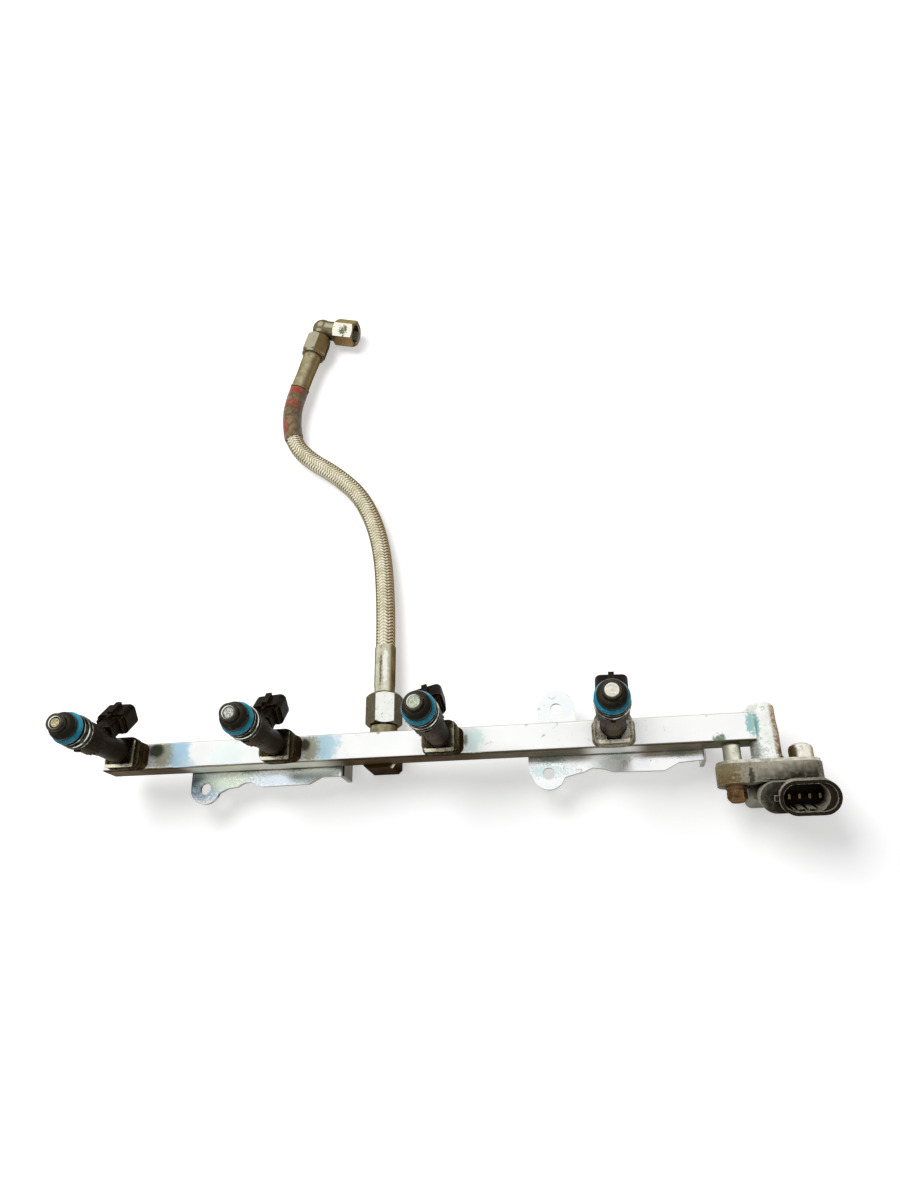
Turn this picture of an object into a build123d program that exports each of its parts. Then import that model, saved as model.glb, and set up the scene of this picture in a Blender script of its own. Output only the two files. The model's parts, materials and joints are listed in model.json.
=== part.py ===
"""Fuel rail for a four-cylinder engine: square rail, four injectors, inlet hose and pressure sensor.

Millimetres, +Z up. The origin is midway between the two front bracket bolts, on the upper face of the
bracket plates. +X runs along the rail to the pressure sensor and +Y to the side of the hose.
"""

from build123d import *
import os
from math import cos, pi, radians, sin, tan

os.makedirs("parts", exist_ok=True)

# Rail
rail_width = 13.0
rail_wall = 1.5
rail_corner = 1.2
rail_left = -131.9
adapter_x = 180.3
rail_right = adapter_x - 4.1
rail_y = 14.4
rail_top = rail_width
rail_mid_z = rail_width / 2
rail_front = rail_y - rail_width / 2
rail_back = rail_y + rail_width / 2
fuel_hole_r = 3.0
ground_z = -16.0
braze_gap = 0.1

# Injectors and their cups; heights are measured from the rail's upper face
injector_x = (-119.1, -41.1, 36.9, 114.9)
injector_turn = (-1, 4, 14, -2)
cup_width = 16.4
cup_depth = 15.2
cup_corner = 4.8
cup_bead = 0.4
cup_bore_r = 7.05
cup_height = 8.0
cup_flare = 3.0
cup_base_length = 19.4
seal_section_r = 1.75
seal_fit = 0.05
core_r = 4.2
waist_r = 4.4
clip_bottom = 8.9
clip_thickness = 1.0
clip_width = 13.7
clip_front = 7.2
clip_back = 6.4
lip_width = 1.5
cover_bottom = 13.0
cover_r = 5.5
upper_seal_height = 4.2
upper_groove_gap = 0.15
lower_seal_height = 55.55
lower_groove_gap = 0.3
lower_seal_r = 7.3
band_top = lower_seal_height - seal_section_r - lower_groove_gap
cover_top = band_top - 6.3
cap_bottom = lower_seal_height + seal_section_r + lower_groove_gap
nozzle_r = 4.0
nozzle_tip = cap_bottom + 8.0
nozzle_shoulder = nozzle_tip - 3.7
disc_r = 2.95
plug_tilt = 46.0
plug_width = 14.4
plug_height = 10.5
plug_length = 10.2
plug_reach = 18.3
plug_drop = 12.8
plug_depth = 8.6
plug_wall = 1.6
plug_blade = 4.0

# Brackets
plate = 2.0
bolt_spacing = 168.4
bolt_hole_r = 2.75
bracket_back = 20.4
left_hole_x = -bolt_spacing / 2
right_hole_x = bolt_spacing / 2
left_foot_x = left_hole_x + 69.9
right_foot_x = right_hole_x + 71.3
lug_hole = (right_hole_x + 4.9, 30.6)
lug_r = 9.0

# Inlet fittings, on one axis along +Y
inlet_x = 3.2
inlet_z = -8.0
block_width = 16.0
block_front = 6.4
block_back = block_front + block_width
union_back = 28.9
union_nut_back = 45.2
union_nut_flats = 16.0
union_nut_turn = -16.0
ferrule_back = 70.6
nipple_r = 3.9
passage_r = 2.2

# Fuel hose; its route is the list of the corners that the bends round off
hose_r = 4.9
socket_depth = 2.0
end_z = -7.8
hose_route = [
    (inlet_x, ferrule_back - socket_depth, inlet_z),
    (inlet_x, 93.1, inlet_z),
    (-1.1, 133.5, -11.1),
    (-12.3, 161.7, -11.1),
    (-28.2, 178.4, -11.1),
    (-46.5, 191.5, -11.0),
    (-55.4, 203.1, -10.2),
    (-57.3, 217.6, -8.8),
    (-56.3, 228.8, end_z),
    (-52.9, 240.4, end_z),
]
sleeve_r = 5.9
sleeve_length = 30.0

# Elbow and nut at the hose's free end, measured along the hose from its last point
end_ferrule_length = 22.9
end_collar = 1.5
elbow_corner = 42.9
elbow_flats = 13.5
elbow_bend = 5.0
elbow_ball_r = 6.3
neck_r = 5.7
nut_flats = 14.0
nut_length = 13.2
nut_turn = 23.5
nut_back = 9.0
neck_gap = 0.3
nut_wall = 2.6
thread_start = 6.4
thread_r = 5.25
journal_r = 4.5
journal_fit = 0.08
nose_r = 5.0

# Pressure sensor and its adapter, whose bore runs along Y
adapter_back = 25.2
adapter_bore_r = 5.0
adapter_bore_end = 18.0
flange_front = -2.0
flange_back = -0.5
ear_spacing = 14.5
ear_r = 8.0
ear_front = -10.6
screw_r = 2.0
screw_hole_r = 2.2
mouth = (adapter_x + 13.3, -18.9, 18.0)
mouth_tilt = 20.0
mouth_width = 25.1
mouth_height = 14.8
mouth_wall = 1.6
mouth_depth = 12.0
mouth_rim = 1.2
collar_width = 30.2
collar_height = 13.4
collar_x = -4.7
collar_drop = 3.4
collar_length = 9.5
tab_width = 2.2
tab_reach = 1.6
cavity_width = 19.0
cavity_x = -1.5
ledge_inner = -4.7
terminal_pitch = 4.15


def finish(piece, name):
    """Labels a finished piece and writes it as one STEP file."""
    piece.part.label = name
    export_step(piece.part, f"parts/{name}.step")


def half_section(plane, *points):
    """Closed profile whose local x is a radius and local y runs along the turning axis."""
    with BuildSketch(plane) as section:
        with BuildLine():
            Polyline(*points, close=True)
        make_face()
    return section.sketch


def along(origin, direction):
    """Plane of a half section for a piece turned about a level axis."""
    return Plane(origin=origin, x_dir=(0, 0, 1), z_dir=Vector(0, 0, 1).cross(Vector(direction)))


# Rail tube: square section, drilled under each cup and over the inlet, its right end mitred to the adapter
adapter_plane = along((adapter_x, 0, rail_mid_z), (0, 1, 0))
adapter_axis = Axis((adapter_x, 0, rail_mid_z), (0, 1, 0))
adapter_outline = (
    (0, flange_front),
    (6.0, flange_front),
    (6.0, flange_back),
    (7.0, flange_back),
    (7.0, flange_back + 1.6),
    (6.5, flange_back + 2.4),
    (6.5, 12.0),
    (6.0, 17.9),
    (5.9, adapter_back - 1.3),
    (4.8, adapter_back),
    (0, adapter_back),
)

with BuildPart() as rail_tube:
    with BuildSketch(Plane.YZ.offset(rail_left)):
        with Locations((rail_y, rail_mid_z)):
            RectangleRounded(rail_width, rail_width, rail_corner)
            Rectangle(rail_width - 2 * rail_wall, rail_width - 2 * rail_wall, mode=Mode.SUBTRACT)
    extrude(amount=rail_right - rail_left)
    with BuildSketch(Plane.XY.offset(rail_mid_z)):
        with Locations(*[(x, rail_y) for x in injector_x]):
            Circle(fuel_hole_r)
    extrude(amount=rail_width, mode=Mode.SUBTRACT)
    with BuildSketch(Plane.XY.offset(rail_mid_z)):
        with Locations((inlet_x, rail_y)):
            Circle(fuel_hole_r)
    extrude(amount=-rail_width, mode=Mode.SUBTRACT)
    revolve(half_section(adapter_plane, *adapter_outline), axis=adapter_axis, mode=Mode.SUBTRACT)
finish(rail_tube, "rail_tube")

# Rail end cap: a plate with a soft outer edge and a spigot inside the tube
with BuildPart() as rail_end_cap:
    with BuildSketch(Plane.YZ.offset(rail_left)):
        with Locations((rail_y, rail_mid_z)):
            RectangleRounded(rail_width, rail_width, rail_corner)
    extrude(amount=-rail_wall)
    fillet(rail_end_cap.faces().sort_by(Axis.X)[0].edges(), rail_corner)
    with BuildSketch(Plane.YZ.offset(rail_left)):
        with Locations((rail_y, rail_mid_z)):
            Rectangle(rail_width - 2 * rail_wall - braze_gap, rail_width - 2 * rail_wall - braze_gap)
    extrude(amount=4)
finish(rail_end_cap, "rail_end_cap")

# Injector cup: saddle on the rail that flares into a square-shouldered cup with two rolled beads
with BuildPart() as injector_cup:
    with BuildSketch():
        RectangleRounded(cup_base_length, rail_width, 3.5)
    with BuildSketch(Plane.XY.offset(cup_flare)):
        RectangleRounded(cup_width, cup_depth, cup_corner)
    loft()
    extrude(injector_cup.faces().sort_by(Axis.Z)[-1], amount=cup_height - cup_flare)
    for bead_bottom, bead_top in ((4.4, 5.3), (6.6, 7.8)):
        with BuildSketch(Plane.XY.offset(bead_bottom)):
            RectangleRounded(cup_width + 2 * cup_bead, cup_depth + 2 * cup_bead, cup_corner + cup_bead)
        extrude(amount=bead_top - bead_bottom)
    revolve(
        half_section(
            Plane.XZ,
            (0, 0),
            (fuel_hole_r, 0),
            (fuel_hole_r, 1.0),
            (cup_bore_r - 0.75, 1.0),
            (cup_bore_r - 0.75, 2.4),
            (cup_bore_r, 2.4),
            (cup_bore_r, cup_height),
            (0, cup_height),
        ),
        axis=Axis.Z,
        mode=Mode.SUBTRACT,
    )

# Spring clip: fork round the injector's neck, raised along both sides, with a bar and a window in front
with BuildPart() as injector_clip:
    with BuildSketch(Plane.XY.offset(clip_bottom)):
        with Locations((0, (clip_back - clip_front) / 2)):
            RectangleRounded(clip_width, clip_back + clip_front, 1.0)
        Circle(waist_r + 0.1, mode=Mode.SUBTRACT)
        with Locations((0, 0)):
            Rectangle(2 * waist_r - 0.6, clip_back + 1, align=(Align.CENTER, Align.MIN), mode=Mode.SUBTRACT)
            Rectangle(6.4, clip_front - lip_width, align=(Align.CENTER, Align.MAX), mode=Mode.SUBTRACT)
    extrude(amount=clip_thickness)
    with BuildSketch(Plane.XY.offset(clip_bottom + clip_thickness)):
        with Locations((0, -clip_front)):
            Rectangle(clip_width - 1.0, lip_width, align=(Align.CENTER, Align.MIN))
        with Locations((-(clip_width - 1) / 2, -0.4), ((clip_width - 1) / 2, -0.4)):
            Rectangle(1.0, clip_back + clip_front - 2.0)
    extrude(amount=0.6)
    with BuildSketch(Plane.XY.offset(clip_bottom)):
        with Locations((0, -clip_front)):
            Rectangle(clip_width - 2.0, 1.0, align=(Align.CENTER, Align.MIN))
    extrude(amount=-(clip_bottom - cup_height) + 0.1)

# Injector valve body: one turned steel outline from the inlet tube to the nozzle disc
upper_groove = seal_section_r + upper_groove_gap
with BuildPart() as injector_valve_body:
    revolve(
        half_section(
            Plane.XZ,
            (0, 1.3),
            (cup_bore_r - 1.15, 1.3),
            (cup_bore_r - 1.15, upper_seal_height - upper_groove),
            (cup_bore_r - 2 * seal_section_r - seal_fit, upper_seal_height - upper_groove),
            (cup_bore_r - 2 * seal_section_r - seal_fit, upper_seal_height + upper_groove),
            (cup_bore_r - 0.15, upper_seal_height + upper_groove),
            (cup_bore_r - 0.15, cup_height - 0.4),
            (5.0, cup_height - 0.4),
            (5.0, clip_bottom - seal_fit),
            (waist_r, clip_bottom - seal_fit),
            (waist_r, cover_bottom),
            (core_r, cover_bottom),
            (core_r, cover_top),
            (7.6, cover_top),
            (7.6, cover_top + 2.8),
            (lower_seal_r, cover_top + 3.0),
            (lower_seal_r, band_top),
            (lower_seal_r - 2 * seal_section_r, band_top),
            (lower_seal_r - 2 * seal_section_r, cap_bottom),
            (disc_r, cap_bottom),
            (disc_r, nozzle_tip - 0.7),
            (0, nozzle_tip - 0.9),
        ),
        axis=Axis.Z,
    )
    with BuildSketch(Plane.XY.offset(1.3)):
        Circle(passage_r)
    extrude(amount=10, mode=Mode.SUBTRACT)

# Seal rings of one injector
with BuildPart() as injector_upper_seal:
    with BuildSketch(Plane.XZ):
        with Locations((cup_bore_r - seal_fit - seal_section_r, upper_seal_height)):
            Circle(seal_section_r)
    revolve(axis=Axis.Z)
with BuildPart() as injector_lower_seal:
    with BuildSketch(Plane.XZ):
        with Locations((lower_seal_r - seal_section_r, lower_seal_height)):
            Circle(seal_section_r)
    revolve(axis=Axis.Z)

# Nozzle cap: dome over the lower seal and a plain ring round the recessed disc
dome_foot = (6.25, cap_bottom + 2.0)
dome_head = (nozzle_r + 0.5, nozzle_shoulder - 0.2)
with BuildPart() as injector_nozzle_cap:
    with BuildSketch(Plane.XZ):
        with BuildLine():
            Polyline((disc_r + seal_fit, nozzle_tip), (disc_r + seal_fit, cap_bottom + seal_fit),
                     (dome_foot[0], cap_bottom + seal_fit), dome_foot)
            RadiusArc(dome_foot, dome_head, -3.2)
            Polyline(dome_head, (nozzle_r, nozzle_shoulder), (nozzle_r, nozzle_tip - 0.3),
                     (nozzle_r - 0.3, nozzle_tip), (disc_r + seal_fit, nozzle_tip))
        make_face()
    revolve(axis=Axis.Z)

# Injector cover: moulded round the core, with a short slanted connector shroud on the hose's side
plug_axis = Vector(0, cos(radians(plug_tilt)), -sin(radians(plug_tilt)))
plug_mouth = Plane(origin=(0, plug_reach, plug_drop), x_dir=(-1, 0, 0), z_dir=plug_axis)
with BuildPart() as injector_cover:
    revolve(
        half_section(
            Plane.XZ,
            (0, cover_bottom),
            (cover_r, cover_bottom),
            (cover_r + 0.3, cover_bottom + 0.4),
            (cover_r + 0.3, cover_bottom + 1.0),
            (cover_r, cover_bottom + 1.3),
            (cover_r, cover_top - 22.2),
            (cover_r + 0.5, cover_top - 17.2),
            (cover_r + 1.5, cover_top - 9.2),
            (cover_r + 1.5, cover_top - 0.1),
            (0, cover_top - 0.1),
        ),
        axis=Axis.Z,
    )
    with BuildSketch(plug_mouth):
        RectangleRounded(plug_width, plug_height, 2.5)
    extrude(amount=-plug_length)
    with BuildSketch(plug_mouth.offset(-0.6)):
        with Locations((0, plug_height / 2)):
            Rectangle(2.6, 3.4)
    extrude(amount=0.6 - plug_length)
    with BuildSketch(plug_mouth.offset(-plug_length)):
        RectangleRounded(9.0, 7.4, 1.5)
    extrude(amount=-9)
    with BuildSketch(plug_mouth.offset(-plug_length)):
        with GridLocations(11.0, 0, 2, 1):
            Rectangle(0.9, plug_height - 3.0)
        with GridLocations(0, 9.2, 1, 2):
            Rectangle(0.9, 1.8)
    extrude(amount=-3.2)
    with Locations((0, -cover_r - 1.4, cover_top - 2.0)):
        Box(2.2, 2.2, 2.0)
    with BuildSketch(Plane.XY.offset(cover_top - 13.2)):
        with PolarLocations(cover_r + 1.2, 24):
            Rectangle(0.7, 0.7)
    extrude(amount=9)
    with BuildSketch(plug_mouth):
        RectangleRounded(plug_width - 2 * plug_wall, plug_height - 2 * plug_wall, 1.4)
    extrude(amount=-plug_depth, mode=Mode.SUBTRACT)
    with BuildSketch(Plane.XY):
        Circle(core_r + seal_fit)
    extrude(amount=cover_top + 1, mode=Mode.SUBTRACT)
with BuildPart() as injector_terminals:
    with BuildSketch(plug_mouth.offset(-plug_depth)):
        with GridLocations(5.0, 0, 2, 1):
            Rectangle(2.2, 0.8)
    extrude(amount=plug_blade)

cup_pieces = {"injector_cup": injector_cup, "injector_clip": injector_clip}
injector_pieces = {
    "injector_valve_body": injector_valve_body,
    "injector_upper_seal": injector_upper_seal,
    "injector_lower_seal": injector_lower_seal,
    "injector_nozzle_cap": injector_nozzle_cap,
    "injector_cover": injector_cover,
    "injector_terminals": injector_terminals,
}
for number, (x, turn) in enumerate(zip(injector_x, injector_turn), 1):
    for pieces, angle in ((cup_pieces, 0), (injector_pieces, turn)):
        for name, model in pieces.items():
            with BuildPart() as placed:
                with Locations(Location((x, rail_y, rail_top), (0, 0, angle))):
                    add(model.part)
            finish(placed, f"{name}_{number}")


def drill_bolt_hole(x, y):
    """Cuts one bolt hole through the bracket plate that is being built."""
    with BuildSketch(Plane.XY) as hole:
        with Locations((x, y)):
            Circle(bolt_hole_r)
    extrude(hole.sketch, amount=-plate, mode=Mode.SUBTRACT)


def fold_foot(x):
    """Folds the plate that is being built down to the ground at its right end."""
    with BuildSketch(Plane.XY) as foot:
        with Locations((x - plate / 2, (bracket_back + 3.4) / 2)):
            Rectangle(plate, bracket_back - 3.4)
    extrude(foot.sketch, amount=ground_z)


# Left bracket: sheet under the rail with one bolt lobe, a shallow notch and a folded foot
left_edge_x = left_hole_x - 7.6
with BuildPart() as left_bracket:
    with BuildSketch(Plane.XY):
        with BuildLine():
            Line((left_edge_x, bracket_back), (left_edge_x, 0))
            lobe = RadiusArc((left_edge_x, 0), (left_hole_x + 7.2, -2.4), -7.6)
            Polyline(lobe @ 1, (left_hole_x + 11.4, -0.3), (left_hole_x + 16.8, 0.4))
            ThreePointArc((left_hole_x + 16.8, 0.4), (left_hole_x + 21.0, 2.3), (left_hole_x + 26.7, 0.7))
            Polyline((left_hole_x + 26.7, 0.7), (left_hole_x + 29.3, -0.1), (left_foot_x - 17.0, 0.2),
                     (left_foot_x - 10.9, 3.4), (left_foot_x, 3.4), (left_foot_x, bracket_back),
                     (left_edge_x, bracket_back))
        make_face()
    extrude(amount=-plate)
    fold_foot(left_foot_x)
    drill_bolt_hole(left_hole_x, 0)
    fillet(left_bracket.edges().filter_by(Axis.Y).sort_by(Axis.X)[-4:].sort_by(Axis.Z)[-1], plate)
finish(left_bracket, "left_bracket")

# Right bracket: the same sheet with a second bolt lug behind the rail
right_edge_x = right_hole_x - 9.2
lug_left = lug_hole[0] - lug_r
lug_right = lug_hole[0] + lug_r
with BuildPart() as right_bracket:
    with BuildSketch(Plane.XY):
        with BuildLine():
            Polyline((lug_left, bracket_back), (right_edge_x, bracket_back), (right_edge_x, 0.9),
                     (right_hole_x - 7.2, -2.0))
            RadiusArc((right_hole_x - 7.2, -2.0), (right_hole_x + 7.2, -2.0), -7.5)
            Polyline((right_hole_x + 7.2, -2.0), (right_hole_x + 12.3, -0.6), (right_hole_x + 16.3, 0.2),
                     (right_hole_x + 20.3, 1.9), (right_hole_x + 24.7, 1.3), (right_hole_x + 29.9, -0.4),
                     (right_foot_x - 18.9, -0.8), (right_foot_x - 12.4, 2.6), (right_foot_x, 3.4),
                     (right_foot_x, bracket_back), (lug_right, bracket_back), (lug_right, lug_hole[1]))
            ThreePointArc((lug_right, lug_hole[1]), (lug_hole[0], lug_hole[1] + lug_r),
                          (lug_left, lug_hole[1]))
            Line((lug_left, lug_hole[1]), (lug_left, bracket_back))
        make_face()
    extrude(amount=-plate)
    fold_foot(right_foot_x)
    drill_bolt_hole(right_hole_x, 0)
    drill_bolt_hole(*lug_hole)
    fillet(right_bracket.edges().filter_by(Axis.Y).sort_by(Axis.X)[-4:].sort_by(Axis.Z)[-1], plate)
finish(right_bracket, "right_bracket")

# Inlet block under the rail, with a feed hole up into the rail and a threaded hole for the union
feed_plane = along((inlet_x, 0, inlet_z), (0, 1, 0))
feed_axis = Axis((inlet_x, 0, inlet_z), (0, 1, 0))
with BuildPart() as inlet_block:
    with BuildSketch(Plane.XY):
        with Locations((inlet_x, (block_front + block_back) / 2)):
            Rectangle(block_width, block_width)
    extrude(amount=ground_z)
    chamfer(inlet_block.edges().filter_by(Axis.Z), 1.8)
    with BuildSketch(Plane.XY):
        with Locations((inlet_x, rail_y)):
            Circle(fuel_hole_r)
    extrude(amount=inlet_z, mode=Mode.SUBTRACT)
    revolve(half_section(feed_plane, (0, 12), (5.0, 12), (5.0, block_back), (0, block_back)),
            axis=feed_axis, mode=Mode.SUBTRACT)
finish(inlet_block, "inlet_block")

# Inlet union: threaded into the block, round collar, male end for the nut with a conical seat
with BuildPart() as inlet_union:
    revolve(
        half_section(
            feed_plane,
            (passage_r, 17.5),
            (4.9, 17.5),
            (4.9, block_back),
            (6.75, block_back),
            (6.75, union_back - 0.6),
            (6.2, union_back),
            (5.9, union_back),
            (5.9, 37.5),
            (4.8, 38.2),
            (passage_r + 1.2, 38.2),
            (passage_r, 37.0),
        ),
        axis=feed_axis,
    )
finish(inlet_union, "inlet_union")

# Nipple: bulb pressed against the union's seat, tube into the ferrule
with BuildPart() as rail_nipple:
    revolve(
        half_section(
            feed_plane,
            (passage_r - 0.4, 38.2),
            (5.6, 38.2),
            (5.6, 41.0),
            (nipple_r, 41.4),
            (nipple_r, 50.0),
            (passage_r - 0.4, 50.0),
        ),
        axis=feed_axis,
    )
finish(rail_nipple, "rail_nipple")

# Rail union nut: hexagon, upper flat leaning to +X, chamfered, bored over the union and round the nipple
with BuildPart() as rail_union_nut:
    with BuildSketch(Plane.XZ.offset(-union_back)):
        with Locations((inlet_x, inlet_z)):
            RegularPolygon(union_nut_flats / 2, 6, major_radius=False, rotation=union_nut_turn)
    extrude(amount=-(union_nut_back - union_back))
    revolve(
        half_section(
            feed_plane,
            (0, union_back),
            (union_nut_flats / 2 - 0.2, union_back),
            (union_nut_flats / 2 + 1.6, union_back + 1.3),
            (union_nut_flats / 2 + 1.6, union_nut_back - 1.8),
            (union_nut_flats / 2 - 0.9, union_nut_back),
            (0, union_nut_back),
        ),
        axis=feed_axis,
        mode=Mode.INTERSECT,
    )
    revolve(
        half_section(
            feed_plane,
            (0, union_back),
            (6.0, union_back),
            (6.0, 41.6),
            (nipple_r + 0.1, 41.6),
            (nipple_r + 0.1, union_nut_back),
            (0, union_nut_back),
        ),
        axis=feed_axis,
        mode=Mode.SUBTRACT,
    )
finish(rail_union_nut, "rail_union_nut")

# Rail ferrule: crimped sleeve, solid between the nipple's tail and the socket for the hose
with BuildPart() as rail_ferrule:
    revolve(
        half_section(
            feed_plane,
            (nipple_r, union_nut_back + 0.2),
            (4.6, union_nut_back + 0.2),
            (5.15, union_nut_back + 0.9),
            (5.15, 48.5),
            (5.35, 50.0),
            (5.35, 66.5),
            (5.35, ferrule_back - 0.6),
            (5.15, ferrule_back),
            (hose_r + seal_fit, ferrule_back),
            (hose_r + seal_fit, ferrule_back - socket_depth),
            (0, ferrule_back - socket_depth),
            (0, 50.0),
            (nipple_r, 50.0),
        ),
        axis=feed_axis,
    )
finish(rail_ferrule, "rail_ferrule")

# Fuel hose: straight runs joined by bends as wide as the runs allow
corners = [Vector(*point) for point in hose_route]
runs = [end - start for start, end in zip(corners, corners[1:])]
bend_radii = [
    0.45 * min(before.length, after.length) / tan(radians(before.get_angle(after)) / 2)
    for before, after in zip(runs, runs[1:])
]
print("hose bend radii", [round(radius, 1) for radius in bend_radii])
with BuildPart() as fuel_hose:
    with BuildLine() as hose_line:
        FilletPolyline(*corners, radius=bend_radii)
    hose_path = hose_line.wires()[0]
    with BuildSketch(Plane(hose_path ^ 0)):
        Circle(hose_r)
    sweep(path=hose_path)
finish(fuel_hose, "fuel_hose")
hose_length = hose_path.length
print("hose length", round(hose_length, 1))
print("hose volume", round(fuel_hose.part.volume), "section times length", round(pi * hose_r**2 * hose_length))

# Marker sleeve: slid over the hose's last stretch, up to the end ferrule
with BuildPart() as marker_sleeve:
    with BuildLine() as sleeve_line:
        add(hose_path.trim(
            1 - (sleeve_length + socket_depth) / hose_length, 1 - (socket_depth + seal_fit) / hose_length))
    sleeve_path = sleeve_line.wires()[0]
    with BuildSketch(Plane(sleeve_path ^ 0)):
        Circle(sleeve_r)
        Circle(hose_r + seal_fit, mode=Mode.SUBTRACT)
    sweep(path=sleeve_path)
finish(marker_sleeve, "marker_sleeve")

# End ferrule: crimped over the hose, tapered up to the elbow
heading = runs[-1].normalized()
across = Vector(heading.Y, -heading.X, 0)
end_plane = along(corners[-1], heading)
end_axis = Axis(corners[-1], heading)
with BuildPart() as end_ferrule:
    revolve(
        half_section(
            end_plane,
            (0, 0),
            (hose_r + seal_fit, 0),
            (hose_r + seal_fit, -socket_depth),
            (5.6, -socket_depth),
            (5.6, -0.8),
            (5.2, 0.0),
            (5.1, 9.0),
            (5.5, end_ferrule_length),
            (0, end_ferrule_length),
        ),
        axis=end_axis,
    )
finish(end_ferrule, "end_ferrule")

# End elbow: collar and hexagonal body, round bend, then the neck that carries the nut
corner = corners[-1] + heading * elbow_corner
nut_plane = along(corner, across)
nut_axis = Axis(corner, across)
nose_start = nut_back + nut_wall + 0.2
with BuildPart() as end_elbow:
    with BuildSketch(Plane(origin=corner - heading * elbow_bend, x_dir=across, z_dir=-heading)):
        RegularPolygon(elbow_flats / 2, 6, major_radius=False, rotation=10)
    extrude(amount=elbow_corner - elbow_bend - end_ferrule_length - end_collar)
    revolve(
        half_section(
            end_plane,
            (0, end_ferrule_length),
            (6.75, end_ferrule_length),
            (6.75, end_ferrule_length + end_collar),
            (8.0, end_ferrule_length + end_collar + 1.2),
            (8.0, elbow_corner - elbow_bend - 3.2),
            (neck_r, elbow_corner - elbow_bend),
            (0, elbow_corner - elbow_bend),
        ),
        axis=end_axis,
        mode=Mode.INTERSECT,
    )
    revolve(
        half_section(
            end_plane,
            (0, end_ferrule_length),
            (6.75, end_ferrule_length),
            (6.75, end_ferrule_length + end_collar),
            (neck_r - 0.2, end_ferrule_length + end_collar),
            (neck_r - 0.2, elbow_corner),
            (0, elbow_corner),
        ),
        axis=end_axis,
    )
    with BuildSketch(end_plane):
        with BuildLine():
            ThreePointArc((0, elbow_corner - elbow_ball_r), (elbow_ball_r, elbow_corner),
                          (0, elbow_corner + elbow_ball_r))
            Line((0, elbow_corner + elbow_ball_r), (0, elbow_corner - elbow_ball_r))
        make_face()
    revolve(axis=end_axis)
    revolve(
        half_section(
            nut_plane,
            (0, 0),
            (neck_r, 0),
            (neck_r, nut_back - neck_gap),
            (journal_r, nut_back - neck_gap),
            (journal_r, nose_start),
            (nose_r, nose_start),
            (nose_r, nose_start + 1.2),
            (3.6, nose_start + 2.4),
            (0, nose_start + 2.4),
        ),
        axis=nut_axis,
    )
    revolve(
        half_section(nut_plane, (0, 4), (passage_r, 4), (passage_r, nose_start + 4), (0, nose_start + 4)),
        axis=nut_axis,
        mode=Mode.SUBTRACT,
    )
finish(end_elbow, "end_elbow")

# End union nut: turns freely on the elbow's journal, held there by the nose
with BuildPart() as end_union_nut:
    with BuildSketch(Plane(origin=corner + across * nut_back, x_dir=(0, 0, 1), z_dir=across)):
        RegularPolygon(nut_flats / 2, 6, major_radius=False, rotation=nut_turn - 90)
    extrude(amount=nut_length)
    revolve(
        half_section(
            nut_plane,
            (0, nut_back),
            (nut_flats / 2 - 0.3, nut_back),
            (nut_flats / 2 + 1.4, nut_back + 1.1),
            (nut_flats / 2 + 1.4, nut_back + nut_length - 1.1),
            (nut_flats / 2 - 0.3, nut_back + nut_length),
            (0, nut_back + nut_length),
        ),
        axis=nut_axis,
        mode=Mode.INTERSECT,
    )
    revolve(
        half_section(
            nut_plane,
            (0, nut_back),
            (journal_r + journal_fit, nut_back),
            (journal_r + journal_fit, nut_back + nut_wall),
            (thread_r + 0.35, nut_back + nut_wall),
            (thread_r + 0.35, nut_back + thread_start),
            (thread_r, nut_back + thread_start),
            (thread_r, nut_back + nut_length - 0.7),
            (thread_r + 0.7, nut_back + nut_length),
            (0, nut_back + nut_length),
        ),
        axis=nut_axis,
        mode=Mode.SUBTRACT,
    )
finish(end_union_nut, "end_union_nut")

# Sensor adapter: turned body across the rail's end, square spigot into the tube, blind bore for the sensor
with BuildPart() as sensor_adapter:
    revolve(half_section(adapter_plane, *adapter_outline), axis=adapter_axis)
    with BuildSketch(Plane.XY.offset(rail_mid_z - 4)):
        with BuildLine():
            Polyline((adapter_x - 9.4, rail_back), (adapter_x - 3.3, adapter_back - 0.5),
                     (adapter_x, adapter_back - 0.5),
                     (adapter_x, rail_back), close=True)
        make_face()
    extrude(amount=8)
    spigot = rail_width - 2 * rail_wall - braze_gap
    with BuildSketch(Plane.YZ.offset(adapter_x)):
        with Locations((rail_y, rail_mid_z)):
            Rectangle(spigot, spigot)
    extrude(amount=-14)
    with BuildSketch(Plane.YZ.offset(adapter_x)):
        with Locations((rail_y, rail_mid_z)):
            Circle(fuel_hole_r)
    extrude(amount=-14, mode=Mode.SUBTRACT)
    revolve(
        half_section(adapter_plane, (0, flange_front), (adapter_bore_r, flange_front), (adapter_bore_r, 12.0),
                     (4.2, 13.0), (4.2, adapter_bore_end), (0, adapter_bore_end)),
        axis=adapter_axis,
        mode=Mode.SUBTRACT,
    )
finish(sensor_adapter, "sensor_adapter")

# Sensor flange: plate brazed round the adapter's front end, tapped for the two screws
flange_plane = Plane(origin=(adapter_x, flange_front, rail_mid_z), x_dir=(1, 0, 0), z_dir=(0, -1, 0))
with BuildPart() as sensor_flange:
    with BuildSketch(flange_plane):
        SlotCenterToCenter(2 * ear_spacing, 2 * ear_r - 1)
        Circle(6.0 + seal_fit, mode=Mode.SUBTRACT)
        with GridLocations(2 * ear_spacing, 0, 2, 1):
            Circle(screw_r + seal_fit, mode=Mode.SUBTRACT)
    extrude(amount=flange_front - flange_back)
finish(sensor_flange, "sensor_flange")


def screw_line(side):
    """Half-section plane and axis of the screw on one side of the adapter, -1 or 1."""
    centre = (adapter_x + side * ear_spacing, 0, rail_mid_z)
    return along(centre, (0, 1, 0)), Axis(centre, (0, 1, 0))


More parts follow.
